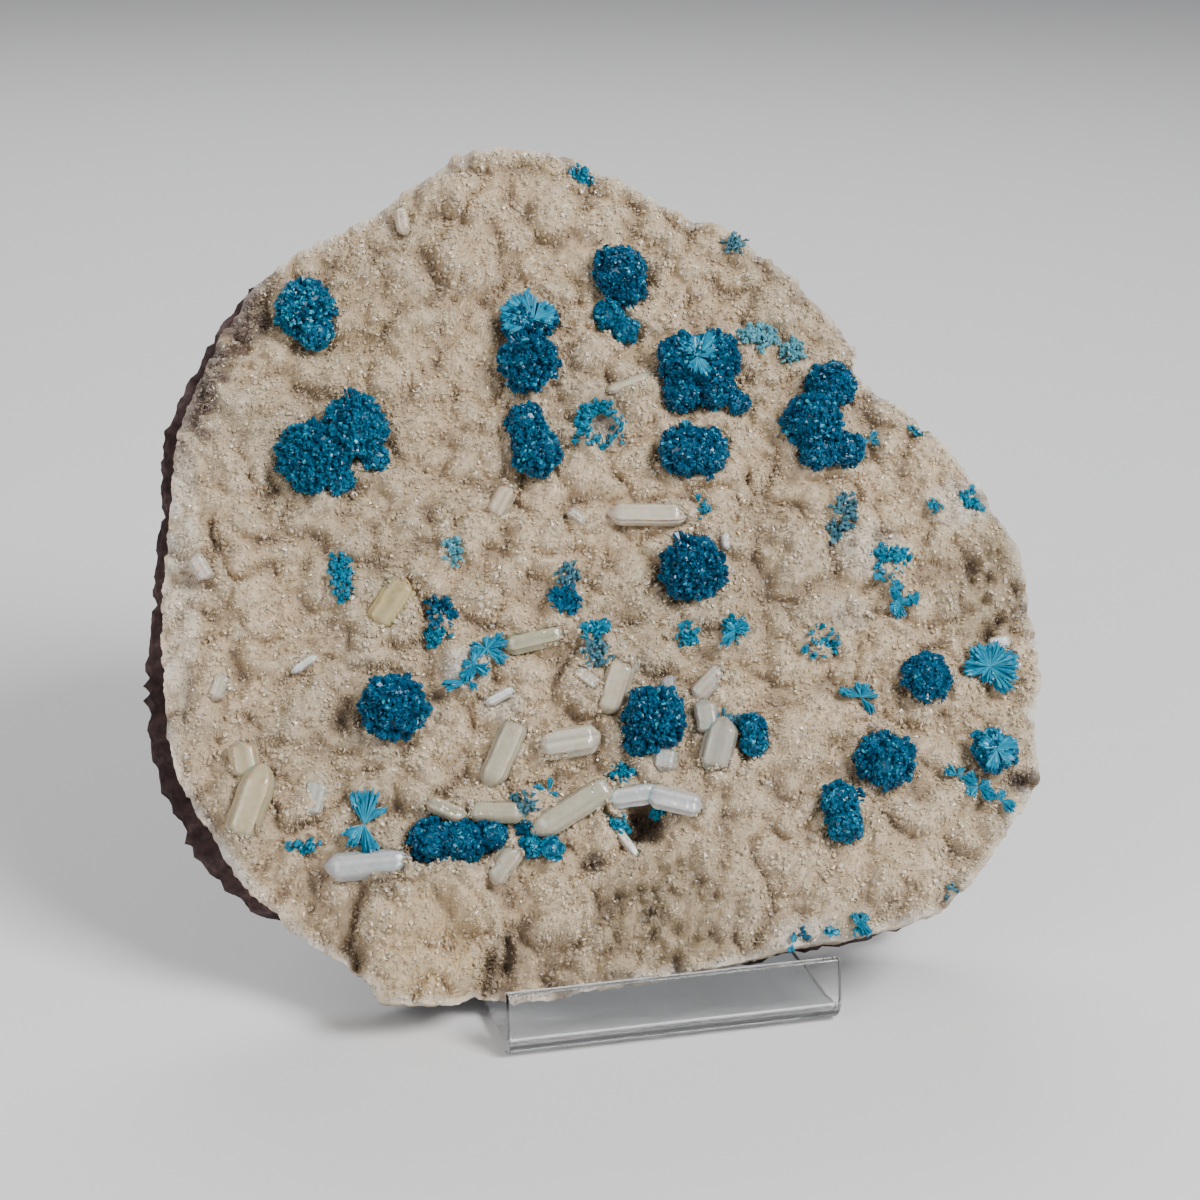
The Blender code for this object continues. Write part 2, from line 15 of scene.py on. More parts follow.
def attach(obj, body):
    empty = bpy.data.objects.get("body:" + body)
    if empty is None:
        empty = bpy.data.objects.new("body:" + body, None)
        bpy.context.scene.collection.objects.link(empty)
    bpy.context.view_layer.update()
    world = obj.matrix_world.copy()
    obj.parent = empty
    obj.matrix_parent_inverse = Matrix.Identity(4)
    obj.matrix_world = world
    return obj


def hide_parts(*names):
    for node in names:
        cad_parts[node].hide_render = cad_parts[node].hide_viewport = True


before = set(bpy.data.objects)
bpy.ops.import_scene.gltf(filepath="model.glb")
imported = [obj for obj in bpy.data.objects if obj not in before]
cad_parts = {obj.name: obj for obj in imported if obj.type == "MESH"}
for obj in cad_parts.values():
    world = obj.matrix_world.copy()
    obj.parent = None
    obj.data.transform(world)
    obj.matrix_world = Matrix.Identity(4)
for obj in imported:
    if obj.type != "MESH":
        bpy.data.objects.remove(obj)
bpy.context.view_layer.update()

MM = 0.001
TURN = 2 * math.pi

# The leaning face and the easel, mm, as in the part's source
FACE_CENTRE = (-3.9, 16.5, 61.5)
FACE_LEAN = math.radians(33)
FACE_TURN = math.radians(-11)
STAND_WIDTH = 51.0
SHEET = 2.0
LIP_FRONT_Y = -20.0
LIP_HEIGHT = 10.2
LIP_LEAN = math.radians(11)
REST_Y = 8.6
REST_HEIGHT = 70.0
REST_LEAN = math.radians(33)
STRUT_FOOT_Y = 62.0
BEND_RADIUS = 3.0
BEND_STEPS = 14
GAP = 0.3

# The slab, mm, as in the part's source
PLANE_DEPTH = 8.0
PLANE_SLOPE_U = -0.03
PLANE_SLOPE_V = 0.04
BACK_DEPTH = 25.0
BACK_SLOPE_U = 0.17
BACK_DEEPEST = 32.0
BACK_STEPS = 5.0
HIDDEN_INSET = 1.2
EDGE_DROP = 1.8
THINNEST = 2.0
LUMP_SIZE = 9.0
LUMP_HEIGHT = 2.6
LUMP_LAYER = 0.4
STEP_SIZE = 22.0
STEP_LAYER = 3.7
BARE_RIM = 0.5

# Outline of the whole slab, (u, v) clockwise from the top
OUTLINE = (
    (-20, 68), (-13, 69), (-6, 69), (2, 65.8), (9, 61), (16, 57.5), (24, 55), (29.7, 50), (34.7, 45.3),
    (39.5, 40), (41.5, 36), (41, 33), (44.5, 30), (49.7, 25.2), (56.3, 18.2), (61, 12), (65, 5.7),
    (66.9, -4), (67, -10), (67.8, -15.5), (65.6, -22), (66.3, -29), (66.6, -32), (61.7, -38.7),
    (57.5, -44.6), (50.6, -51.6), (40, -54.8), (29.5, -56.3), (20, -58.8), (10.7, -60.2), (-2, -62),
    (-13, -63.3), (-19, -62.4), (-21.8, -64), (-33.4, -63.8), (-35.7, -59.6), (-39.3, -57.2),
    (-47.4, -51.8), (-53.4, -48), (-59.2, -42.5), (-63.2, -35.3), (-66.7, -26.8), (-67.8, -16),
    (-67, -1), (-66, 11), (-65.2, 24.4), (-63, 31), (-57.2, 41.3), (-52.6, 48), (-46, 51),
    (-39.4, 54.8), (-31.7, 59.5), (-24.3, 65),
)
CRUST_LEFT_EDGE = (
    (-48, -50.5), (-52.3, -47), (-57.3, -39.3), (-62, -31.5), (-64.3, -24), (-64.8, -14), (-65, 0),
    (-64, 12), (-63, 23), (-60.5, 30), (-55.5, 41), (-51, 47.5),
)

# Broad swells and hollows of the crust: (u, v, radius, height)
SWELLS = (
    (-56, 22, 9, 3.0),
    (-15, 60, 15, 1.2),
    (8, 59, 7, 1.0),
    (-44, 45, 9, -1.0),
    (17, 40.5, 3.2, -1.6),
    (1.5, 23.4, 3.0, -2.0),
    (-14, -62, 12, -8.0),
    (-45, -54, 11, -3.5),
    (28, -50, 22, 2.2),
    (55, -36, 14, 1.2),
    (6.2, -39, 4.0, -3.6),
    (64, -32.5, 3.0, -2.5),
    (-38, -22, 3.0, -1.6),
    (60, -5, 9, -1.0),
)
CHUNK_CENTRE = (-25.5, -54.0)
CHUNK_HALF = (9.8, 11.0)
CHUNK_HEIGHT = 3.6
CHUNK_EDGE = 1.6
CHUNK_SKEW = 0.12
CHUNK_TIP = 0.10

# A point that stands out of the face looks shifted this far to the right and up for each mm of its height.
# The crystals' u and v below are as they look, and place() takes the shift off.
VIEW_SHIFT = (0.08, 0.25)

# Cavansite rosettes: the node they replace, then each ball as (u, v, radius, height of its middle)
ROSETTES = {
    "cavansite_top_left": ((-44.0, 42.4, 4.6, 1.4), (-42.3, 38.4, 2.9, 1.0)),
    "cavansite_big_left": ((-42.6, 18.8, 5.6, 1.8), (-36.2, 23.4, 5.1, 2.0), (-38.6, 15.0, 2.4, 1.0),
                           (-33.2, 18.6, 2.2, 1.0)),
    "cavansite_upper_centre": ((4.8, 48.6, 4.3, 1.8), (6.0, 45.8, 3.1, 1.2)),
    "cavansite_upper_small": ((3.0, 41.3, 2.7, 0.8), (5.5, 39.0, 2.3, 0.8)),
    "cavansite_fan_and_ball": ((-9.6, 33.8, 4.7, 2.0), (-11.0, 40.6, 3.2, 1.4), (-7.3, 40.6, 2.6, 1.4)),
    "cavansite_two_balls": ((-8.8, 19.4, 4.0, 1.8), (-10.4, 24.2, 3.1, 1.4)),
    "cavansite_square": ((14.4, 34.0, 4.4, 1.6), (18.8, 34.2, 4.4, 1.6), (14.0, 28.8, 3.2, 1.2),
                         (19.2, 29.2, 3.2, 1.2), (22.4, 27.2, 2.0, 0.8)),
    "cavansite_below_square": ((13.9, 19.6, 4.0, 1.8), (17.1, 19.4, 3.9, 1.6)),
    "cavansite_right_trio": ((36.9, 29.8, 4.0, 1.6), (34.0, 24.2, 4.6, 2.2), (34.6, 19.4, 3.2, 1.6),
                             (39.0, 19.9, 3.0, 1.2)),
    "cavansite_centre": ((14.7, 1.1, 5.1, 2.0),),
    "cavansite_left_ball": ((-30.8, -19.8, 5.1, 2.2),),
    "cavansite_lower_centre": ((8.0, -21.8, 4.9, 2.2), (5.4, -26.2, 2.1, 0.8)),
    "cavansite_behind_blades": ((22.9, -26.0, 2.3, 0.8), (22.8, -23.5, 2.2, 0.8)),
    "cavansite_bottom_dark": ((-25.2, -40.0, 3.5, 1.0), (-20.9, -40.2, 3.4, 1.0), (-16.6, -39.4, 2.6, 0.6)),
    "cavansite_bright": ((-10.6, -41.2, 1.8, 0.8), (-7.6, -41.4, 1.9, 0.8)),
    "cavansite_double": ((35.4, -34.7, 3.0, 1.5), (36.0, -38.3, 3.0, 1.5)),
    "cavansite_lower_right": ((42.5, -28.7, 4.5, 1.9),),
    "cavansite_right_ball": ((49.4, -16.1, 3.8, 1.6),),
    "cavansite_far_right": ((58.4, -26.8, 2.9, 1.2), (60.4, -27.6, 2.5, 1.2), (58.9, -29.2, 2.0, 0.8)),
}
KNOBS = 0.16
BALL_FOOT = 0.6

# Open fans: the node they replace, centre (u, v), then each petal as (angle, length, half width)
FANS = {
    "cavansite_fan_cluster": ((59.6, -14.6), ((15, 4.6, 2.3), (75, 4.0, 2.2), (130, 4.2, 2.2),
                                              (185, 4.6, 1.9), (245, 3.0, 1.9), (312, 4.9, 2.4))),
    "cavansite_bowtie": ((-35.2, -37.5), ((106, 5.3, 1.3), (78, 5.5, 1.6), (40, 4.2, 0.8),
                                          (207, 3.6, 0.8), (238, 4.1, 1.3), (283, 5.0, 1.6))),
}
FAN_HEIGHT = 1.5

# Fans that lie on a ball: the ball's node, then (u, v, height over the crust) and the petals
TOP_FANS = {
    "cavansite_fan_and_ball": ((-8.7, 40.3, 3.4), ((8, 3.6, 1.3), (42, 4.2, 1.5), (105, 5.2, 1.5),
                                                   (133, 5.4, 1.7), (163, 5.4, 1.7), (195, 5.0, 1.6))),
    "cavansite_square": ((16.2, 34.4, 5.9), ((15, 3.6, 1.2), (55, 4.4, 1.3), (95, 3.4, 1.2), (135, 3.4, 1.2),
                                             (250, 3.0, 1.2), (300, 3.4, 1.3))),
    "cavansite_far_right": ((59.2, -27.0, 3.4), ((20, 3.4, 1.4), (80, 2.8, 1.4), (150, 3.0, 1.3),
                                                 (250, 3.4, 1.3), (320, 3.0, 1.3))),
}

# Stilbite blades: the node they replace, then each crystal as
# (u, v, angle, length, width, thickness, height over the crust, tilt)
BLADES = {
    "stilbite_left_plate": ((-31.0, -4.0, 58, 8.4, 5.0, 2.0, 0.6, 8),),
    "stilbite_corner_blade": ((-51.8, -34.0, 70, 11.6, 5.2, 3.0, 0.8, 6),
                              (-52.8, -27.7, 100, 5.5, 4.6, 2.4, 0.4, 4)),
    "stilbite_satin_bar": ((-34.6, -43.5, 4, 12.6, 4.2, 3.2, 1.0, 3),),
    "stilbite_centre_bar": ((8.0, 9.4, -2, 11.8, 3.5, 2.8, 0.8, 3),),
    "stilbite_nub": ((-14.1, 11.8, 60, 5.4, 3.3, 2.6, 0.6, 20),),
    "stilbite_sliver": ((5.6, 30.4, 20, 7.0, 1.6, 1.6, 0.4, 4),),
    "stilbite_green_bar": ((-9.6, -10.0, 12, 9.6, 3.0, 2.4, 0.6, 4),),
    "stilbite_tooth": ((2.3, -17.2, 72, 8.6, 4.2, 3.0, 1.2, 14),),
    "stilbite_wedge": ((-1.9, -15.8, -40, 5.0, 2.4, 2.0, 0.8, 6),),
    "stilbite_streaked": ((16.4, -16.8, 45, 6.6, 3.0, 2.0, 0.8, 10),),
    "stilbite_grey_pair": ((17.6, -26.0, 75, 8.2, 5.2, 3.4, 1.0, 8),
                           (15.8, -21.8, 98, 5.0, 3.6, 2.6, 1.1, 6)),
    "stilbite_pointed": ((-4.8, -25.6, 8, 9.4, 4.6, 3.2, 1.2, 5),),
    "stilbite_leaning_tooth": ((-14.6, -27.0, 65, 11.0, 4.2, 3.2, 1.2, 10),),
    "stilbite_ledge": ((-15.8, -35.9, -3, 8.4, 3.2, 2.4, 1.4, 4),),
    "stilbite_ledge_left": ((-23.2, -35.4, -24, 6.6, 2.6, 2.2, 1.2, 4),),
    "stilbite_small_tooth": ((-14.6, -43.5, 52, 6.4, 3.3, 2.4, 1.6, 12),),
    "stilbite_long_blade": ((-4.4, -35.4, 31, 14.0, 4.0, 2.8, 1.6, 5),),
    "stilbite_needle": ((2.4, -39.4, -55, 11.0, 1.5, 1.5, 0.8, 4),),
    "stilbite_arch": ((4.6, -33.6, 8, 8.4, 3.2, 2.6, 2.6, 3), (10.6, -34.4, -14, 8.4, 3.6, 2.6, 2.4, 3)),
}

# Colours, linear
CREAM = (0.49, 0.36, 0.22)
PALE = (0.59, 0.47, 0.33)
# the cream darkened, as painted shade in hollows and gaps
SHADED_CREVICE = (0.33, 0.235, 0.15)
# white of frosted crystals, also used as a painted glint on crystal tips
FROST_AND_GLINT = (0.70, 0.66, 0.59)
BUFF = (0.60, 0.43, 0.23)
RUSSET = (0.12, 0.075, 0.06)
OCHRE = (0.22, 0.16, 0.09)
# a dark brown that also stands for painted shade in holes and deep gaps
BROWN_EARTH_AND_SHADE = (0.06, 0.038, 0.028)
DEEP_BLUE = (0.000, 0.044, 0.100)
BLUE = (0.000, 0.100, 0.195)
CYAN = (0.000, 0.195, 0.32)
ICE = (0.08, 0.54, 0.70)
GREY_TEAL = (0.06, 0.18, 0.24)
PALE_TEAL = (0.10, 0.33, 0.41)


# The height lattice

STEP = 0.4
REACH = 74.0
AXIS = np.arange(-REACH, REACH + 0.01, STEP)
LOWEST_DOME = 0.55


def on_lattice(function):
    """The values of function(u, v) at every point of the lattice."""
    return np.array([[function(u, v) for v in AXIS] for u in AXIS])


def sample(field, u, v):
    """Bilinear values of a lattice field at any points."""
    x = np.clip((u - AXIS[0]) / STEP, 0, len(AXIS) - 1.001)
    y = np.clip((v - AXIS[0]) / STEP, 0, len(AXIS) - 1.001)
    i, j = x.astype(int), y.astype(int)
    s, t = x - i, y - j
    low = field[i, j] * (1 - t) + field[i, j + 1] * t
    high = field[i + 1, j] * (1 - t) + field[i + 1, j + 1] * t
    return low * (1 - s) + high * s


def blurred(field, sigma):
    """A Gaussian blur, sigma in mm."""
    frequency = np.fft.fftfreq(len(AXIS), STEP)
    response = np.exp(-2 * (math.pi * sigma * frequency) ** 2)
    return np.real(np.fft.ifft2(np.fft.fft2(field) * response[:, None] * response[None, :]))


def smooth_noise(sigma, seed):
    """A soft random field, sigma mm across its bumps, about -1 to 1."""
    field = blurred(np.random.default_rng(seed).normal(size=(len(AXIS), len(AXIS))), sigma)
    return field / (2 * field.std())


def domes(spacing, smallest, largest, seed):
    """Round lumps, one near each point of a shaken grid. Where two meet, the higher one shows."""
    rng = np.random.default_rng(seed)
    field = np.zeros((len(AXIS), len(AXIS)))
    for u in np.arange(AXIS[0], AXIS[-1], spacing):
        for v in np.arange(AXIS[0], AXIS[-1], spacing):
            centre = np.array((u, v)) + rng.uniform(-0.5, 0.5, 2) * spacing
            radius = rng.uniform(smallest, largest)
            first = np.maximum(((centre - radius - AXIS[0]) / STEP).astype(int), 0)
            last = ((centre + radius - AXIS[0]) / STEP).astype(int) + 2
            du = AXIS[first[0]:last[0]] - centre[0]
            dv = AXIS[first[1]:last[1]] - centre[1]
            height = np.sqrt(np.maximum(radius ** 2 - du[:, None] ** 2 - dv[None, :] ** 2, 0))
            window = field[first[0]:last[0], first[1]:last[1]]
            np.maximum(window, height * rng.uniform(LOWEST_DOME, 1.0), out=window)
    return field


# The slab's shape

def polar_radius(points):
    angles = np.array([math.atan2(v, u) for u, v in points])
    radii = np.array([math.hypot(u, v) for u, v in points])
    order = np.argsort(angles)
    return lambda angle: np.interp(angle, angles[order], radii[order], period=TURN)


def crust_outline():
    low = math.atan2(CRUST_LEFT_EDGE[0][1], CRUST_LEFT_EDGE[0][0]) % TURN
    high = math.atan2(CRUST_LEFT_EDGE[-1][1], CRUST_LEFT_EDGE[-1][0]) % TURN
    kept = [p for p in OUTLINE if not high <= math.atan2(p[1], p[0]) % TURN <= low]
    return kept + list(CRUST_LEFT_EDGE)


def basalt_outline():
    crust_radius = polar_radius(crust_outline())
    points = []
    for u, v in OUTLINE:
        radius = math.hypot(u, v)
        bare = radius > crust_radius(math.atan2(v, u)) + BARE_RIM
        scale = 1 if bare else (radius - HIDDEN_INSET) / radius
        points.append((u * scale, v * scale))
    return points


def step_up(distance, width):
    t = min(max(distance / width + 0.5, 0), 1)
    return t * t * (3 - 2 * t)


def chunk_height(u, v):
    inside_u = CHUNK_HALF[0] - abs(u - CHUNK_CENTRE[0] - CHUNK_SKEW * (v - CHUNK_CENTRE[1]))
    inside_v = CHUNK_HALF[1] - abs(v - CHUNK_CENTRE[1])
    if v < CHUNK_CENTRE[1]:
        inside_v = CHUNK_HALF[1]
    rise = step_up(inside_u, CHUNK_EDGE) * step_up(inside_v, CHUNK_EDGE)
    return rise * (CHUNK_HEIGHT + CHUNK_TIP * (v - CHUNK_CENTRE[1]))


def lumps(u, v):
    distance = noise.voronoi(Vector((u / LUMP_SIZE, v / LUMP_SIZE, LUMP_LAYER)))[0][0]
    return LUMP_HEIGHT * (0.5 - distance * distance)


def crust_height(u, v):
    """The crust's height in the part's source, on which every crystal is seated."""
    height = chunk_height(u, v) + lumps(u, v)
    for centre_u, centre_v, radius, rise in SWELLS:
        height += rise * math.exp(-((u - centre_u) ** 2 + (v - centre_v) ** 2) / radius ** 2)
    return max(height, plane_height(u, v) + THINNEST + EDGE_DROP)


def place(u, v, rise):
    """The true place of a point that looks to be at (u, v) in the photograph."""
    w = crust_height(u, v) + rise
    return u - VIEW_SHIFT[0] * w, v - VIEW_SHIFT[1] * w, w


def plane_height(u, v):
    return -PLANE_DEPTH + PLANE_SLOPE_U * u + PLANE_SLOPE_V * v


def back_height(u, v):
    depth = min(BACK_DEPTH + BACK_SLOPE_U * u, BACK_DEEPEST)
    steps = noise.voronoi(Vector((u / STEP_SIZE, v / STEP_SIZE, STEP_LAYER)))[0]
    return -depth + BACK_STEPS * (steps[1] - steps[0])


# Zones of the crust that differ from the rest: (u, v, half u, half v, colour, strength)
# The darkest zones sit in holes, hollows and gaps: their dark brown is partly the ground's own colour and
# partly painted shade, as is the shaded crevice colour in its zones
ZONES = (
    (34, -44, 26, 14, PALE, 0.35),
    (-25.5, -55, 9.5, 9, BUFF, 0.6),
    (-56, 22, 8, 8, PALE, 0.6),
    (-35, 36, 9, 9, BUFF, 0.25),
    (9, -52, 10, 9, OCHRE, 0.9),
    (60, -3, 6.5, 9, OCHRE, 0.7),
    (62.5, 6, 4, 5, OCHRE, 0.45),
    (63.5, -32.5, 2.6, 1.8, BROWN_EARTH_AND_SHADE, 1.0),
    (6.2, -38.3, 3.4, 2.8, BROWN_EARTH_AND_SHADE, 1.0),
    (-1.6, -43.8, 1.7, 1.6, BROWN_EARTH_AND_SHADE, 1.0),
    # painted shadow beside the left ball
    (-37.8, -22, 1.6, 2.6, BROWN_EARTH_AND_SHADE, 0.8),
    (-51.6, 41, 2.0, 4.2, BROWN_EARTH_AND_SHADE, 1.0),
    (-57.6, 34, 2.6, 3.8, BROWN_EARTH_AND_SHADE, 1.0),
    (-58.7, 27.5, 1.8, 2.2, BROWN_EARTH_AND_SHADE, 1.0),
    (-54, -33, 8, 13, SHADED_CREVICE, 0.35),
    (-32.6, -47, 2.2, 2.0, BROWN_EARTH_AND_SHADE, 0.6),
    (-14.6, -58, 2.8, 4.5, BROWN_EARTH_AND_SHADE, 0.6),
    (42.5, 3.5, 5.5, 4.0, FROST_AND_GLINT, 0.5),
    (39.4, 4.5, 1.0, 0.8, BROWN_EARTH_AND_SHADE, 0.9),
    (43.3, 5.7, 1.0, 0.8, BROWN_EARTH_AND_SHADE, 0.9),
    (56.5, 11, 4.6, 4.0, FROST_AND_GLINT, 0.6),
    (1.5, 23.4, 3.2, 3.2, FROST_AND_GLINT, 0.5),
    (1.5, 23.4, 1.4, 1.4, BROWN_EARTH_AND_SHADE, 0.6),
    (17, 40.8, 3.0, 1.8, SHADED_CREVICE, 0.7),
    (38.5, -6.5, 3.4, 2.6, FROST_AND_GLINT, 0.35),
    (-20.5, -14.5, 3.2, 3.0, FROST_AND_GLINT, 0.7),
    (-15, -20, 3.0, 2.6, FROST_AND_GLINT, 0.5),
    (30, -55, 5.0, 2.4, FROST_AND_GLINT, 0.55),
    (-58, -44, 5.0, 3.0, FROST_AND_GLINT, 0.4),
    (-62, 0, 2.2, 22, FROST_AND_GLINT, 0.45),
)
# Where the crust is bare and grainy, with few crystal tips: (u, v, half u, half v)
BARE = (
    (9, -52, 9.5, 8),
    (60, -3, 6, 8.5),
    (63.5, -32.5, 2.6, 1.8),
    (6.2, -38.3, 3.4, 2.8),
    (-54, 36, 3.6, 8),
)


ZONE_END = 1.25
ZONE_FADE = 0.5


def within(u, v, centre_u, centre_v, half_u, half_v):
    """1 inside an ellipse, falling to 0 across its edge."""
    reach = np.sqrt(((u - centre_u) / half_u) ** 2 + ((v - centre_v) / half_v) ** 2)
    return np.clip((ZONE_END - reach) / ZONE_FADE, 0, 1)


BALLS = {name: [(*place(u, v, rise), radius) for u, v, radius, rise in balls]
         for name, balls in ROSETTES.items()}
CRYSTALS = {name: [(*place(u, v, rise), angle, length, width, thickness, tilt)
                   for u, v, angle, length, width, thickness, rise, tilt in crystals]
            for name, crystals in BLADES.items()}

# The relief of the dressed crust. Its random lumps are (spacing, smallest radius, largest radius)
BROAD = (7.5, 2.4, 5.2)
WIDE = (3.6, 1.3, 3.0)
FINE = (1.7, 0.5, 1.2)
GRAIN = (0.9, 0.35, 0.65)
PITS = (2.4, 0.5, 1.3)
BROAD_SHARE = 0.5
WIDE_SHARE = 0.85
FINE_SHARE = 0.55
GRAIN_SHARE = 0.4
PIT_SHARE = 1.5
LUMP_BLUR = 1.7
LUMP_SHARE = 0.9
WARP = 1.6  # how far the broad and wide lumps are pushed out of round
WARP_SIZE = 1.6
LEVEL_BLUR = 8  # what the lumps add over this width is taken off, so that the crust keeps its level
BANK = 0.7  # how far the crust rises round a blade's rooted end
BANK_REACH = 1.1
BANK_WIDTH = 0.3
LEAST_BANK = 0.3
BALL_MOAT = 1.3
MOAT_EDGE = 0.98
BLADE_MOAT = 0.25
# Which end of a blade is rooted in the crust: 1 for the end its angle points to, -1 for the other
ROOTS = {
    "stilbite_corner_blade": -1, "stilbite_satin_bar": 1, "stilbite_centre_bar": 1, "stilbite_nub": 1,
    "stilbite_green_bar": 1, "stilbite_tooth": 1, "stilbite_wedge": 1, "stilbite_streaked": 1,
    "stilbite_grey_pair": -1, "stilbite_pointed": -1, "stilbite_leaning_tooth": 1, "stilbite_ledge": -1,
    "stilbite_ledge_left": -1, "stilbite_small_tooth": 1, "stilbite_long_blade": 1, "stilbite_sliver": -1,
    "stilbite_left_plate": 1,
}
BLADE_SHOWS = 0.84  # the share of a blade's length and width that the crust leaves clear
# Deep gaps between lumps: (u, v, half u, half v, depth)
CREVICES = (
    (-15.4, -56.0, 1.3, 3.2, 2.4),
    (-17.6, -60.5, 1.5, 3.0, 2.6),
    (-13.2, -59.0, 2.2, 3.4, 1.2),
    (-31.8, -46.6, 3.2, 0.9, 1.6),
    (-20.5, -43.6, 5.5, 0.8, 1.6),
    (-36.4, -55, 0.7, 5.0, 0.7),
    (-37.8, -22, 1.0, 2.2, 1.6),
    (6.2, -38.6, 3.0, 2.2, 1.5),
    (-58.6, 30, 1.2, 5.0, 1.2),
    (-52.4, 41, 1.0, 4.0, 1.2),
    (60.6, -8.0, 1.0, 2.4, 1.4),
    (57.4, 1.5, 1.0, 2.6, 1.0),
    (64.2, -32.6, 1.8, 1.0, 1.2),
    (-49.6, 14, 0.9, 4.2, 1.6),
)


def blade_reach(u, v, crystal):
    """Distance from a blade's middle in shares of its half length and half width."""
    centre_u, centre_v, _, angle, length, width = crystal[:6]
    cos, sin = math.cos(math.radians(angle)), math.sin(math.radians(angle))
    along = (u - centre_u) * cos + (v - centre_v) * sin
    across = (v - centre_v) * cos - (u - centre_u) * sin
    return np.maximum(np.abs(along) / (length / 2), np.abs(across) / (width / 2))


def make_relief():
    """The crust's height on the lattice: the source's form, round druse lumps, and room for crystals."""
    even_lumps = on_lattice(lumps)
    base = on_lattice(crust_height) - even_lumps + blurred(even_lumps, LUMP_BLUR) * LUMP_SHARE
    u, v = np.meshgrid(AXIS, AXIS, indexing="ij")
    shift_u = smooth_noise(WARP_SIZE, seed=11) * WARP
    shift_v = smooth_noise(WARP_SIZE, seed=12) * WARP
    ragged_u, ragged_v = u + shift_u, v + shift_v
    base = sample(base, ragged_u, ragged_v)
    bare = np.zeros_like(base)
    for zone in BARE:
        bare = np.maximum(bare, within(ragged_u, ragged_v, *zone))
    wide = domes(*BROAD, seed=2) * BROAD_SHARE + domes(*WIDE, seed=3) * WIDE_SHARE
    wide = sample(wide, ragged_u, ragged_v)
    fine = domes(*FINE, seed=5) * FINE_SHARE
    grain = domes(*GRAIN, seed=7) * GRAIN_SHARE
    pits = domes(*PITS, seed=13) * bare * PIT_SHARE
    shape = wide * (1 - 0.4 * bare) + fine * (1 + 0.6 * bare) + grain - pits
    relief = base + shape - blurred(shape, LEVEL_BLUR)
    for centre_u, centre_v, half_u, half_v, depth in CREVICES:
        relief -= depth * within(ragged_u, ragged_v, centre_u, centre_v, half_u, half_v)
    for balls in BALLS.values():
        for ball_u, ball_v, _, radius in balls:
            distance = np.hypot(u - ball_u, v - ball_v) / radius
            relief -= BALL_MOAT * np.exp(-(distance / MOAT_EDGE) ** 8)
    for name, crystals in CRYSTALS.items():
        for crystal in crystals:
            seat = crystal[2] - BLADE_MOAT
            reach = blade_reach(u, v, crystal)
            along = (u - crystal[0]) * math.cos(math.radians(crystal[3]))
            along += (v - crystal[1]) * math.sin(math.radians(crystal[3]))
            rooted = np.clip(along * ROOTS.get(name, 0) / crystal[4] + 0.6, LEAST_BANK, 1)
            relief += BANK * rooted * np.exp(-((reach - BANK_REACH) / BANK_WIDTH) ** 2)
            inside = reach < BLADE_SHOWS
            relief = np.where(inside, np.minimum(relief, seat), relief)
    return relief, bare


DETAIL_BLUR = 0.35
VALLEY_BLUR = 2.2
relief, bare_zone = make_relief()
# Painted light and shade: the crust's colour is lighter on the relief's fine bumps and darker in its valleys
painted_light_relief = blurred(relief, DETAIL_BLUR) - blurred(relief, VALLEY_BLUR)
slope_u, slope_v = np.gradient(relief, STEP)
crust_edge = polar_radius(crust_outline())
broad_patches = smooth_noise(6.0, seed=31)
fine_patches = smooth_noise(1.1, seed=32)
GREYER = (0.86, 0.88, 0.90)


def edge_drop(u, v):
    """How far the crust's surface falls away towards its edge."""
    share = np.minimum(np.hypot(u, v) / crust_edge(np.arctan2(v, u)), 1)
    return EDGE_DROP * share ** 10


def mix(first, second, share):
    share = np.asarray(share)[..., None]
    return np.asarray(first) * (1 - share) + np.asarray(second) * share


# The crust is thin and stained along its edge at the upper left: share of the radius, radians
RUSSET_FROM = 0.945
RUSSET_MIDDLE = math.radians(150)
RUSSET_SPREAD = math.radians(17)


def crust_tint(u, v):
    """The crust's colour at any points: brownish painted shade in the gaps, cream on the lumps with painted
    light on their tops, and its zones.
    """
    # Painted shade and light: the colour falls to the shaded crevice colour in the hollows and rises to pale
    # on the lump tops
    depth = np.clip((sample(painted_light_relief, u, v) + 1.0) / 1.5 + 0.14 * sample(fine_patches, u, v), 0, 1)
    tint = mix(SHADED_CREVICE, CREAM, np.clip(depth * 1.9, 0, 1))
    tint = mix(tint, PALE, np.clip(depth * 1.4 - 0.75, 0, 1))
    ragged = noise_at(u, v, 2.6, 11.0)
    for centre_u, centre_v, half_u, half_v, colour, strength in ZONES:
        share = within(u, v, centre_u, centre_v, half_u, half_v)
        # In the ochre zones the hollows are darkened too, as painted shade
        shade = np.clip(0.25 + 1.2 * depth, 0, 1.1)[:, None] if colour is OCHRE else 1
        tint = mix(tint, np.asarray(colour) * shade, np.clip(share * (0.75 + 0.6 * ragged), 0, 1) * strength)
    tint = mix(tint, tint * GREYER, np.clip(sample(broad_patches, u, v) + 0.35, 0, 1))
    angle = np.arctan2(v, u)
    rim = np.hypot(u, v) / crust_edge(angle)
    corner = np.clip((RUSSET_SPREAD - np.abs(angle - RUSSET_MIDDLE)) / 0.1, 0, 1)
    russet = np.clip((rim - RUSSET_FROM + 0.10 * ragged) / 0.02, 0, 1) * corner
    tint = mix(tint, RUSSET, russet * np.clip(1.1 - 0.9 * noise_at(u, v, 0.9, 4.0), 0.25, 1))
    frosted = np.clip((rim - 0.972) / 0.02, 0, 1) * np.clip(0.5 + ragged, 0, 1) * (1 - 0.7 * russet)
    tint = mix(tint, FROST_AND_GLINT, frosted * 0.75)
    return tint


def noise_at(u, v, size, layer):
    return np.array([noise.noise(Vector((a / size, b / size, layer))) for a, b in zip(u, v)])


# From face millimetres to row metres

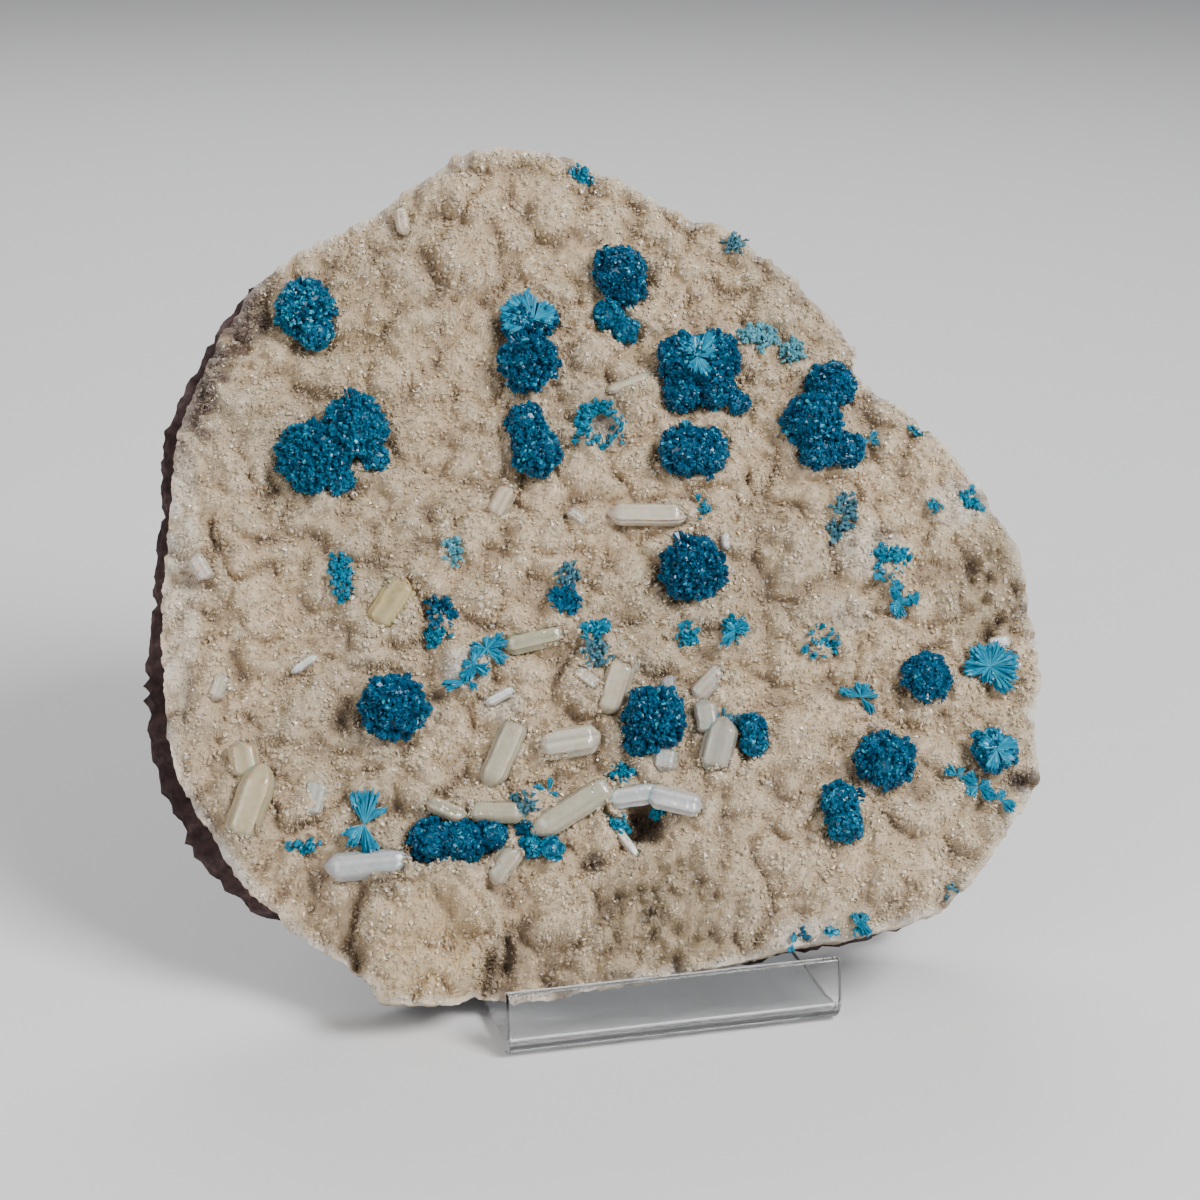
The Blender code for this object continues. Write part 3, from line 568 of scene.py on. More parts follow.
FACE_AXES = Matrix.Rotation(FACE_TURN, 3, "Z") @ Matrix.Rotation(math.pi / 2 - FACE_LEAN, 3, "X")
FACE_AXES = np.array(FACE_AXES)


def to_row(points):
    """Row millimetres of face points."""
    return points @ FACE_AXES.T + np.array(FACE_CENTRE)


LIP_BACK_Y = LIP_FRONT_Y + SHEET + LIP_HEIGHT * math.tan(LIP_LEAN) + GAP
REST_FOOT = np.array((0, REST_Y, SHEET / 2))
REST_NORMAL = np.array((0, math.cos(REST_LEAN), -math.sin(REST_LEAN)))


def seated(points):
    """Row points of the stone, pressed flat where they would go into the shelf, the lip or the back rest."""
    behind = (points - REST_FOOT) @ REST_NORMAL + SHEET / 2 + GAP
    points = points - np.maximum(behind, 0)[:, None] * REST_NORMAL
    points[:, 2] = np.maximum(points[:, 2], SHEET + GAP)
    in_lip = (np.abs(points[:, 0]) < STAND_WIDTH / 2 + GAP) & (points[:, 2] < LIP_HEIGHT + GAP)
    points[:, 1] = np.where(in_lip, np.maximum(points[:, 1], LIP_BACK_Y), points[:, 1])
    return points


def clear_of_easel(points):
    """True for row points that stay outside the shelf and the lip."""
    in_lip = (np.abs(points[:, 0]) < STAND_WIDTH / 2 + GAP) & (points[:, 2] < LIP_HEIGHT + GAP)
    return (points[:, 2] > SHEET + GAP) & ~(in_lip & (points[:, 1] < LIP_BACK_Y))


# Meshes

def make_piece(name, points, triangles, tints, material, node=None, smooth=False):
    """A mesh object from row millimetres, with a colour at each vertex."""
    mesh = bpy.data.meshes.new(name)
    mesh.vertices.add(len(points))
    mesh.vertices.foreach_set("co", np.ascontiguousarray(points * MM, np.float32).ravel())
    mesh.loops.add(len(triangles) * 3)
    mesh.loops.foreach_set("vertex_index", np.ascontiguousarray(triangles, np.int32).ravel())
    mesh.polygons.add(len(triangles))
    mesh.polygons.foreach_set("loop_start", np.arange(0, len(triangles) * 3, 3, dtype=np.int32))
    mesh.update(calc_edges=True)
    if smooth:
        mesh.shade_smooth()
    else:
        mesh.shade_flat()
    layer = mesh.color_attributes.new("tint", "FLOAT_COLOR", "POINT")
    colours = np.ones((len(points), 4), np.float32)
    colours[:, :3] = np.clip(tints, 0, 1)
    layer.data.foreach_set("color", colours.ravel())
    mesh.materials.append(material)
    obj = bpy.data.objects.new(name, mesh)
    bpy.context.scene.collection.objects.link(obj)
    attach(obj, "root")
    if node:
        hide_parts(node)
    return obj


def joined(groups):
    """One (points, triangles, tints) from several."""
    offset = 0
    all_points, all_triangles, all_tints = [], [], []
    for points, triangles, tints in groups:
        all_points.append(points)
        all_triangles.append(triangles + offset)
        all_tints.append(tints)
        offset += len(points)
    return np.concatenate(all_points), np.concatenate(all_triangles), np.concatenate(all_tints)


# Crystal forms: corners as (across, over, along), along from 0 at the root to 1 at the tip
SPIKE = (((-1, -1, 0), (1, -1, 0), (1, 1, 0), (-1, 1, 0), (0, 0, 1)),
         ((0, 1, 4), (1, 2, 4), (2, 3, 4), (3, 0, 4)))
OBELISK = (((0, 0, 0), (-1, -1, 0.8), (1, -1, 0.8), (1, 1, 0.8), (-1, 1, 0.8), (0, 0, 1)),
           ((0, 2, 1), (0, 3, 2), (0, 4, 3), (0, 1, 4), (1, 2, 5), (2, 3, 5), (3, 4, 5), (4, 1, 5)))
BLOCK = (((0, 0, 0), (-1, -1, 0.9), (1, -1, 0.86), (1, 1, 0.9), (-1, 1, 0.94), (0.2, 0, 1)), OBELISK[1])


def unit(vectors):
    return vectors / np.linalg.norm(vectors, axis=-1, keepdims=True)


def crystals(form, roots, directions, lengths, widths, depths, root_tints, tip_tints, rng, flat=None):
    """Many copies of a form, each with its own place, direction, size and colour."""
    corners = np.array(form[0], float)
    faces = np.array(form[1])
    count = len(roots)
    along = unit(directions)
    if flat is None:
        flat = rng.normal(size=(count, 3))
    across = unit(np.cross(along, flat))
    over = np.cross(along, across)
    points = (roots[:, None, :]
              + across[:, None, :] * (corners[None, :, 0] * widths[:, None])[..., None]
              + over[:, None, :] * (corners[None, :, 1] * depths[:, None])[..., None]
              + along[:, None, :] * (corners[None, :, 2] * lengths[:, None])[..., None])
    tints = mix(root_tints[:, None, :], tip_tints[:, None, :],
                np.broadcast_to(corners[:, 2], (count, len(corners))))
    triangles = faces[None, :, :] + (np.arange(count) * len(corners))[:, None, None]
    return points.reshape(-1, 3), triangles.reshape(-1, 3), tints.reshape(-1, 3)


def disc_grid(cells):
    """A square grid wrapped onto the unit disc: share of the radius and angle at each point."""
    side = np.linspace(-1, 1, cells + 1)
    x, y = np.meshgrid(side, side, indexing="ij")
    wide = np.abs(x) > np.abs(y)
    safe_x = np.where(wide, x, 1)
    safe_y = np.where(wide | (y == 0), 1, y)
    share = np.maximum(np.abs(x), np.abs(y))
    across = math.pi / 4 * y / safe_x + np.where(x < 0, math.pi, 0)
    upward = math.pi / 2 - math.pi / 4 * x / safe_y + np.where(y < 0, math.pi, 0)
    return share, np.where(wide, across, upward)


def border_of(cells):
    """Grid indices round the border, in order."""
    count = cells + 1
    index = np.arange(count * count).reshape(count, count)
    return np.concatenate([index[:-1, 0], index[-1, :-1], index[:0:-1, -1], index[0, :0:-1]])


WALL_GRAIN = 0.8


def slab(edge, cells, free_side, flat_side, edge_drop, wall_rows, roughness, seed):
    """A closed slab with a relief on one side, a broken wall round it and a flat other side.
    Returns face points, triangles, and each point's share of the way down the wall."""
    share, angle = disc_grid(cells)
    radius = edge(angle.ravel()).reshape(share.shape) * share
    u, v = (radius * np.cos(angle)).ravel(), (radius * np.sin(angle)).ravel()
    ragged = np.array([noise.fractal(Vector((a / 2.2, b / 2.2, seed)), 0.6, 2.0, 4) for a, b in zip(u, v)])
    near_edge = share.ravel() ** 40
    outward = np.stack([np.cos(angle.ravel()), np.sin(angle.ravel())], 1)
    u = u + outward[:, 0] * ragged * roughness * near_edge
    v = v + outward[:, 1] * ragged * roughness * near_edge
    w = free_side(u, v) - edge_drop * share.ravel() ** 10
    points = [np.stack([u, v, w], 1)]
    count = cells + 1
    index = np.arange(count * count).reshape(count, count)
    a, b, c, d = index[:-1, :-1], index[1:, :-1], index[1:, 1:], index[:-1, 1:]
    triangles = [np.stack([a, b, c], -1).reshape(-1, 3), np.stack([a, c, d], -1).reshape(-1, 3)]
    ring = border_of(cells)
    top = points[0][ring]
    bottom_w = flat_side(top[:, 0], top[:, 1])
    down = [np.zeros(count * count)]
    previous = ring
    for row in range(1, wall_rows + 1):
        t = row / wall_rows
        shake = np.array([noise.fractal(Vector((x / 6, y / 6, seed + t * 2.5)), 0.8, 2.0, 5)
                          for x, y in top[:, :2]])
        shake += WALL_GRAIN * np.array([noise.noise(Vector((x / 0.8, y / 0.8, t * 11)))
                                        for x, y in top[:, :2]])
        fade = math.sin(math.pi * min(t, 0.98)) ** 0.4
        wall = top.copy()
        wall[:, :2] += outward[ring] * (shake * roughness * fade - 0.6 * t)[:, None]
        wall[:, 2] = top[:, 2] * (1 - t) + bottom_w * t
        start = sum(len(p) for p in points)
        points.append(wall)
        down.append(np.full(len(wall), t))
        current = start + np.arange(len(ring))
        following = np.roll(current, -1)
        before = np.roll(previous, -1)
        triangles.append(np.stack([previous, current, following], 1))
        triangles.append(np.stack([previous, following, before], 1))
        previous = current
    start = sum(len(p) for p in points)
    middle = points[-1].mean(axis=0)
    points.append(middle[None, :])
    down.append(np.ones(1))
    triangles.append(np.stack([previous, np.full(len(previous), start), np.roll(previous, -1)], 1))
    return np.concatenate(points), np.concatenate(triangles), np.concatenate(down)


def facing_out(points, triangles):
    """The triangles wound so that a closed mesh faces outwards."""
    a, b, c = points[triangles[:, 0]], points[triangles[:, 1]], points[triangles[:, 2]]
    volume = np.einsum("ij,ij->i", a, np.cross(b, c)).sum()
    return triangles if volume > 0 else triangles[:, ::-1]


# Materials

def node(tree, kind, x, y, **settings):
    made = tree.nodes.new(kind)
    made.location = (x, y)
    for name, value in settings.items():
        setattr(made, name, value)
    return made


def noise_node(tree, scale, detail, x, y):
    made = node(tree, "ShaderNodeTexNoise", x, y)
    made.inputs["Scale"].default_value = scale
    made.inputs["Detail"].default_value = detail
    return made


def map_range(tree, source, values, x, y):
    """A node that maps one range of the source's value onto another: (from, from, to, to)."""
    made = node(tree, "ShaderNodeMapRange", x, y)
    for socket, value in zip(("From Min", "From Max", "To Min", "To Max"), values):
        made.inputs[socket].default_value = value
    tree.links.new(source.outputs["Fac"], made.inputs["Value"])
    return made


NOISE_RANGE = (0.3, 0.7)
MOTTLE_SCALE = 900
GLOSS_SCALE = 400


def tinted_material(name, roughness, rough_spread, bump_scale, bump_height, mottle, extra=None):
    """A material whose colour is the mesh's own tint, mottled, with uneven gloss and a fine bump."""
    material = bpy.data.materials.new(name)
    material.use_nodes = True
    tree = material.node_tree
    shader = tree.nodes["Principled BSDF"]
    coords = node(tree, "ShaderNodeTexCoord", -1100, 0)
    tint = node(tree, "ShaderNodeAttribute", -900, 250, attribute_name="tint")
    spots = noise_node(tree, MOTTLE_SCALE, 1, -900, 0)
    tree.links.new(coords.outputs["Object"], spots.inputs["Vector"])
    shade = map_range(tree, spots, (*NOISE_RANGE, 1 - mottle, 1 + mottle), -700, 0)
    colour = node(tree, "ShaderNodeVectorMath", -450, 200, operation="SCALE")
    tree.links.new(tint.outputs["Color"], colour.inputs[0])
    tree.links.new(shade.outputs["Result"], colour.inputs["Scale"])
    tree.links.new(colour.outputs["Vector"], shader.inputs["Base Color"])
    gloss = noise_node(tree, GLOSS_SCALE, 0, -900, -250)
    tree.links.new(coords.outputs["Object"], gloss.inputs["Vector"])
    rough = map_range(tree, gloss, (*NOISE_RANGE, roughness - rough_spread, roughness + rough_spread),
                      -450, -150)
    tree.links.new(rough.outputs["Result"], shader.inputs["Roughness"])
    relief_noise = noise_node(tree, bump_scale, 1, -900, -500)
    tree.links.new(coords.outputs["Object"], relief_noise.inputs["Vector"])
    bump = node(tree, "ShaderNodeBump", -450, -450)
    bump.inputs["Strength"].default_value = 0.6
    bump.inputs["Distance"].default_value = bump_height * MM
    tree.links.new(relief_noise.outputs["Fac"], bump.inputs["Height"])
    tree.links.new(bump.outputs["Normal"], shader.inputs["Normal"])
    for socket, value in (extra or {}).items():
        shader.inputs[socket].default_value = value
    return material


def acrylic_material():
    """Clear sheet with a few faint rub marks."""
    material = bpy.data.materials.new("clear_acrylic")
    material.use_nodes = True
    tree = material.node_tree
    shader = tree.nodes["Principled BSDF"]
    shader.inputs["Base Color"].default_value = (0.97, 0.985, 0.99, 1)
    shader.inputs["Transmission Weight"].default_value = 1.0
    shader.inputs["IOR"].default_value = 1.49
    coords = node(tree, "ShaderNodeTexCoord", -1100, 0)
    stretch = node(tree, "ShaderNodeMapping", -900, 0)
    stretch.inputs["Scale"].default_value = (60, 60, 900)
    stretch.inputs["Rotation"].default_value = (0.0, 0.35, 0.0)
    tree.links.new(coords.outputs["Object"], stretch.inputs["Vector"])
    scratches = noise_node(tree, 1, 4, -700, 0)
    tree.links.new(stretch.outputs["Vector"], scratches.inputs["Vector"])
    rub = map_range(tree, scratches, (0.62, 0.78, 0.015, 0.25), -450, 0)
    tree.links.new(rub.outputs["Result"], shader.inputs["Roughness"])
    return material


# Pieces

SHADE_UNDER_TIPS = 0.86  # painted shade: the ground under the crystal tips is this much darker
RELIEF_CELLS = 236
WALL_ROWS = 10
CRUST_ROUGHNESS = 0.4
SPIKES = 80000
GRAINS = 14000
PROBES = 900000
ROOT_DEPTH = 0.4
THINNING = 2.8
TIPS_END = 0.992  # share of the crust's radius
BALL_HOLE = 0.88
LEAN = 0.36
# tips whose random share is over this carry a painted glint
SPARKLE_FROM = 0.95
TIP_WIDTHS = (0.13, 0.26)
PARTS_OF_DRUSE = (("druse_lowest", -90, -36), ("druse_lower", -36, -12), ("druse_middle", -12, 12),
                  ("druse_upper", 12, 36), ("druse_top", 36, 90))


def make_crust(material):
    def top(u, v):
        return sample(relief, u, v)

    points, triangles, down = slab(crust_edge, RELIEF_CELLS, top, plane_height, EDGE_DROP, WALL_ROWS,
                                   CRUST_ROUGHNESS, 2.0)
    tints = crust_tint(points[:, 0], points[:, 1]) * SHADE_UNDER_TIPS
    tints *= 1 + 0.25 * (down * noise_at(points[:, 0], points[:, 2], 1.3, 5.0))[:, None]
    tints = np.where(down[:, None] > 0, mix(tints, mix(PALE, OCHRE, down), np.clip(down * 4, 0, 0.8)), tints)
    row_points = seated(to_row(points))
    make_piece("crust_relief", row_points, facing_out(row_points, triangles), tints, material,
               "zeolite_crust")


OVERGROWN_FROM = 0.62  # share of the half length beyond which the crust covers a blade
OVERGROWN_RISE = 0.36


def rooted_end(u, v, blade, name):
    """Where the crust has grown over a blade's end, and the height of the blade's top face there."""
    centre_u, centre_v, w, angle, length, _, thickness, tilt = blade
    cos, sin = math.cos(math.radians(angle)), math.sin(math.radians(angle))
    along = (u - centre_u) * cos + (v - centre_v) * sin
    near_root = along * ROOTS.get(name, 0) / (length / 2)
    ragged = 0.5 * sample(fine_patches, u, v)
    over = (near_root > OVERGROWN_FROM + ragged) & (blade_reach(u, v, blade) < 1)
    return over, w + thickness * OVERGROWN_RISE + along * math.sin(math.radians(tilt))


def druse_places(rng):
    """Random points of the crust where a crystal tip may stand, more of them on slopes."""
    u = rng.uniform(-70, 70, PROBES)
    v = rng.uniform(-66, 71, PROBES)
    share = np.hypot(u, v) / crust_edge(np.arctan2(v, u))
    steep = np.sqrt(1 + sample(slope_u, u, v) ** 2 + sample(slope_v, u, v) ** 2)
    wanted = rng.uniform(0, THINNING, PROBES) < steep * (1 + 0.4 * sample(bare_zone, u, v))
    free = (share < TIPS_END) & wanted
    for balls in BALLS.values():
        for ball_u, ball_v, _, radius in balls:
            free &= np.hypot(u - ball_u, v - ball_v) > BALL_HOLE * radius
    for name, blades in CRYSTALS.items():
        for blade in blades:
            free &= (blade_reach(u, v, blade) > BLADE_SHOWS * 0.96) | rooted_end(u, v, blade, name)[0]
    return u[free], v[free], share[free]


def make_druse(material):
    """Crystal tips over the whole crust, standing out from its lumps."""
    rng = np.random.default_rng(23)
    u, v, share = druse_places(rng)
    count = min(len(u), SPIKES + GRAINS)
    u, v, share = u[:count], v[:count], share[:count]
    height = sample(relief, u, v) - edge_drop(u, v)
    rise_u, rise_v = sample(slope_u, u, v), sample(slope_v, u, v)
    for name, blades in CRYSTALS.items():
        for blade in blades:
            over, face = rooted_end(u, v, blade, name)
            height = np.where(over, face, height)
            rise_u, rise_v = np.where(over, 0, rise_u), np.where(over, 0, rise_v)
    normals = unit(np.stack([-rise_u, -rise_v, np.ones(count)], 1))
    directions = unit(normals + rng.normal(size=(count, 3)) * LEAN)
    roots = np.stack([u, v, height], 1) - directions * ROOT_DEPTH
    base = crust_tint(u, v)
    # Painted light: each tip is paler than the crust under it, by a random share, and a few tips get a
    # painted glint in frost white
    bright = rng.uniform(0.0, 1.0, count)
    tips = mix(base, PALE, 0.10 + 0.25 * bright) * (0.95 + 0.15 * bright)[:, None]
    tips = mix(tips, FROST_AND_GLINT, np.where(bright > SPARKLE_FROM, 0.5, 0.0))
    patch = 1 + 0.45 * noise_at(u, v, 5.0, 8.0)
    stands_out = rng.gamma(5.0, 0.055, count) * patch + 0.08
    lengths = ROOT_DEPTH + stands_out * (1 - 0.5 * sample(bare_zone, u, v))
    widths = rng.uniform(*TIP_WIDTHS, count) * patch
    coarse = np.arange(count) >= count - GRAINS
    ends = to_row(roots + directions * lengths[:, None])
    outside = clear_of_easel(ends)
    for name, low, high in PARTS_OF_DRUSE:
        part = (v >= low) & (v < high) & outside
        groups = []
        for form, chosen, grow in ((SPIKE, part & ~coarse, 1.0), (BLOCK, part & coarse, 1.25)):
            # the roots are a little darker than the crust, as painted shade
            groups.append(crystals(form, roots[chosen], directions[chosen], lengths[chosen],
                                   widths[chosen] * grow * 1.1, widths[chosen] * grow * 0.8,
                                   base[chosen] * 0.95, tips[chosen], rng))
        points, triangles, tints = joined(groups)
        make_piece(name, to_row(points), triangles, tints, material)


def knob(direction, seed):
    return noise.noise(Vector(direction) * 3.3 + Vector((seed, 0, 0)))


def sphere_directions(count):
    """Evenly spread directions, from the golden angle."""
    index = np.arange(count) + 0.5
    height = 1 - 2 * index / count
    angle = math.pi * (1 + 5 ** 0.5) * index
    ring = np.sqrt(1 - height ** 2)
    return np.stack([ring * np.cos(angle), ring * np.sin(angle), height], 1)


NOTCHES = 0.28
SHEAF_SPACING = 1.15
SHEAF_SPREAD = 0.36
SHEAF_UNEVEN = 0.20
BLADES_IN_SHEAF = 8
BLADE_LEAN = 0.18
CORE_SHARE = 0.79
BRIGHT = ("cavansite_bright",)
LIGHTER = ("cavansite_top_left", "cavansite_upper_small", "cavansite_double", "cavansite_far_right",
           "cavansite_big_left", "cavansite_behind_blades")


def rosette_core(centre, radius, seed):
    """The ball under the crystal tips."""
    bm = bmesh.new()
    bmesh.ops.create_icosphere(bm, subdivisions=3, radius=1)
    points = np.array([vert.co for vert in bm.verts])
    triangles = np.array([[vert.index for vert in face.verts] for face in bm.faces])
    bm.free()
    swell = np.array([1 + KNOBS * knob(p, seed) for p in points])
    tints = np.broadcast_to(BLUE, (len(points), 3)) * 0.6
    return centre + points * (swell * radius * CORE_SHARE)[:, None], triangles, tints


def rosette_ball(ball, seed, rng, glint_share, dark, light):
    """A ball of blades that radiate in small sheaves."""
    centre, radius = np.array(ball[:3]), ball[3]
    sheaves = sphere_directions(int(4 * math.pi * radius ** 2 / SHEAF_SPACING ** 2))
    sheaves = unit(sheaves + rng.normal(size=sheaves.shape) * 0.25 * SHEAF_SPACING / radius)
    sheaves = sheaves[sheaves[:, 2] > -BALL_FOOT * 0.8]
    swell = np.array([1 + KNOBS * knob(d, seed) + NOTCHES * knob(d * 2.1, seed + 9) for d in sheaves])
    swell += rng.normal(size=len(sheaves)) * SHEAF_UNEVEN / radius
    spread = SHEAF_SPREAD * SHEAF_SPACING / radius
    directions = np.repeat(sheaves, BLADES_IN_SHEAF, axis=0)
    offsets = rng.normal(size=directions.shape) * spread
    directions = unit(directions + offsets)
    count = len(directions)
    rounding = 0.05 * np.minimum((offsets ** 2).sum(axis=1) / spread ** 2 / 3, 2.0)
    outer = np.repeat(swell, BLADES_IN_SHEAF) * radius * (0.97 - rounding + rng.uniform(-0.025, 0.025, count))
    lean = unit(directions + rng.normal(size=directions.shape) * BLADE_LEAN)
    lengths = np.full(count, radius * 0.5)
    roots = centre + directions * outer[:, None] - lean * lengths[:, None]
    patches = 0.5 + np.array([knob(d * 0.6, seed + 4) for d in sheaves])
    shade = np.repeat(patches * 0.7 + rng.uniform(0, 0.3, len(sheaves)), BLADES_IN_SHEAF)
    tips = mix(dark, light, np.clip(shade + rng.uniform(-0.15, 0.15, count), 0, 1))
    # Painted glints: a share of the blade tips is paled towards ice
    tips = mix(tips, ICE, np.where(rng.uniform(0, 1, count) < glint_share, 0.45, 0.0))
    widths = rng.uniform(0.17, 0.36, count)
    blades = crystals(BLOCK, roots, lean, lengths, widths, widths * rng.uniform(0.4, 0.9, count),
                      np.broadcast_to(dark, (count, 3)), tips, rng)
    return [rosette_core(centre, radius, seed), blades]


RAY_SPACING = 0.2
RAY_LAYERS = 3
SHEEN_STREAK_FROM = 0.88
ON_BALL = (0.12, 0.3)  # lift of the fans that lie on a ball, and how much painted sheen pales their rays
OPEN_FAN = (0.55, 0.5)
LOOSE_SPRAY = (0.6, 0.15)
# the share of blade tips on a ball that carry a painted glint
PAINTED_GLINTS = 0.05


def fan_rays(centre, petals, rng, lift, pale):
    """Blades that spread from one point in each petal, in ragged layers; lift is rise over length, and pale
    is how much painted sheen pales random rays.
    """
    centre = np.array(centre)
    roots, directions, lengths, reaches, roots_tint, tips_tint = [], [], [], [], [], []
    for angle, length, half_width in petals:
        spread = math.atan2(half_width, length)
        rays = max(6, int(2 * half_width / RAY_SPACING))
        for layer in range(RAY_LAYERS):
            offsets = np.linspace(-1, 1, rays) + rng.normal(size=rays) * 0.2
            turn = math.radians(angle) + offsets * spread
            rise = lift * rng.uniform(-0.1, 1, rays) * (1 - 0.3 * layer)
            direction = np.stack([np.cos(turn), np.sin(turn), rise], 1)
            start = length * rng.uniform(0, 0.55, rays) * (layer > 0)
            reach = length * (1 - 0.15 * offsets ** 2) * rng.uniform(0.62, 1.08, rays)
            directions.append(direction)
            roots.append(centre + direction * start[:, None])
            lengths.append(reach - start)
            reaches.append(reach)
            # Painted sheen: random rays are paled towards ice, and a few carry a bright painted streak
            shine = rng.uniform(0, 1, rays)
            streak = np.where(shine > SHEEN_STREAK_FROM, 0.6, 0.0)
            roots_tint.append(mix(mix(CYAN, ICE, pale * shine), ICE, streak))
            tips_tint.append(mix(mix(CYAN, BLUE, rng.uniform(0, 0.9, rays)), ICE, streak * 0.4))
    directions, lengths = np.concatenate(directions), np.concatenate(lengths)
    reaches = np.concatenate(reaches)
    count = len(lengths)
    widths = rng.uniform(0.13, 0.26, count) * np.clip(reaches / 3.5, 0.7, 1.3)
    upright = np.tile((0.0, 0.0, 1.0), (count, 1)) + rng.normal(size=(count, 3)) * 0.55
    return crystals(OBELISK, np.concatenate(roots), directions, lengths, widths, widths * 0.6,
                    np.concatenate(roots_tint), np.concatenate(tips_tint), rng, flat=upright)


# balls with more blade tips that carry a painted glint
MORE_PAINTED_GLINTS = {"cavansite_top_left": 0.12, "cavansite_upper_small": 0.1, "cavansite_far_right": 0.14}


def make_rosettes(material):
    for number, (name, balls) in enumerate(BALLS.items()):
        rng = np.random.default_rng(100 + number)
        groups = []
        for index, ball in enumerate(balls):
            dark, light = (DEEP_BLUE, BLUE)
            if name in BRIGHT:
                dark, light = (BLUE, CYAN)
            elif name in LIGHTER:
                light = mix(BLUE, CYAN, 0.55)
            groups += rosette_ball(ball, number * 5.3 + index, rng, MORE_PAINTED_GLINTS.get(name, PAINTED_GLINTS), dark, light)
        if name in TOP_FANS:
            (u, v, height), petals = TOP_FANS[name]
            groups.append(fan_rays(place(u, v, height), petals, rng, *ON_BALL))
        points, triangles, tints = joined(groups)
        make_piece(name + "_crystals", to_row(points), triangles, tints, material, name)


def make_fans(material):
    for number, (name, ((u, v), petals)) in enumerate(FANS.items()):
        rng = np.random.default_rng(200 + number)
        centre = place(u, v, FAN_HEIGHT * 0.5)
        points, triangles, tints = fan_rays(centre, petals, rng, *OPEN_FAN)
        make_piece(name + "_rays", to_row(points), triangles, tints, material, name)


# Small loose sprays of cavansite: (u, v, petals as (angle, length, half width))
SPRAYS = (
    (46.2, -4.8, ((112, 3.0, 1.3), (18, 2.2, 1.1), (215, 2.0, 1.5), (262, 2.6, 1.4), (65, 1.4, 1.2),
                  (165, 1.2, 1.1))),
    (45.6, -2.4, ((100, 1.6, 1.0), (20, 1.3, 0.8), (190, 1.2, 0.8), (280, 1.4, 0.8))),
    (47.8, -4.0, ((30, 1.6, 0.9), (330, 1.4, 0.8), (100, 0.9, 0.6))),
    (39.6, -19.2, ((165, 3.8, 0.9), (105, 2.6, 0.8), (60, 2.4, 0.9), (10, 2.8, 0.9), (300, 3.6, 0.9))),
    (53.4, -31.2, ((150, 2.4, 1.1), (330, 3.2, 1.2), (50, 1.6, 0.8))),
    (56.5, -33.0, ((130, 3.0, 1.2), (215, 2.4, 1.1), (320, 3.2, 1.2), (20, 2.0, 1.0))),
    (59.6, -35.0, ((150, 3.0, 1.2), (325, 3.0, 1.3), (60, 1.6, 0.9))),
    (-16.8, -11.2, ((30, 3.4, 1.8), (325, 3.6, 1.5), (180, 2.8, 1.4), (250, 3.0, 1.5), (90, 2.0, 1.0))),
    (-18.9, -13.6, ((80, 3.0, 1.2), (245, 3.4, 1.4), (330, 3.0, 1.2), (170, 1.8, 1.0))),
    (-19.4, -16.0, ((70, 3.0, 1.1), (195, 4.6, 1.1), (300, 1.8, 0.9), (140, 2.0, 1.0))),
    (21.0, -8.4, ((60, 2.2, 1.2), (170, 1.8, 1.0), (230, 3.8, 1.0), (340, 2.0, 1.0))),
    (-8.0, -33.0, ((80, 2.2, 0.5), (160, 2.6, 0.6), (330, 1.8, 0.7))),
    (-0.2, -8.8, ((40, 2.4, 1.1), (140, 2.4, 1.1), (270, 1.6, 0.8))),
    (37.8, -53.2, ((130, 2.2, 0.8), (50, 1.8, 0.8), (300, 2.4, 0.9))),
    (27.4, -55.8, ((80, 1.4, 0.6), (250, 1.4, 0.7))),
    (42.9, 21.4, ((50, 1.8, 0.8), (330, 1.8, 0.7), (200, 1.8, 0.8))),
)
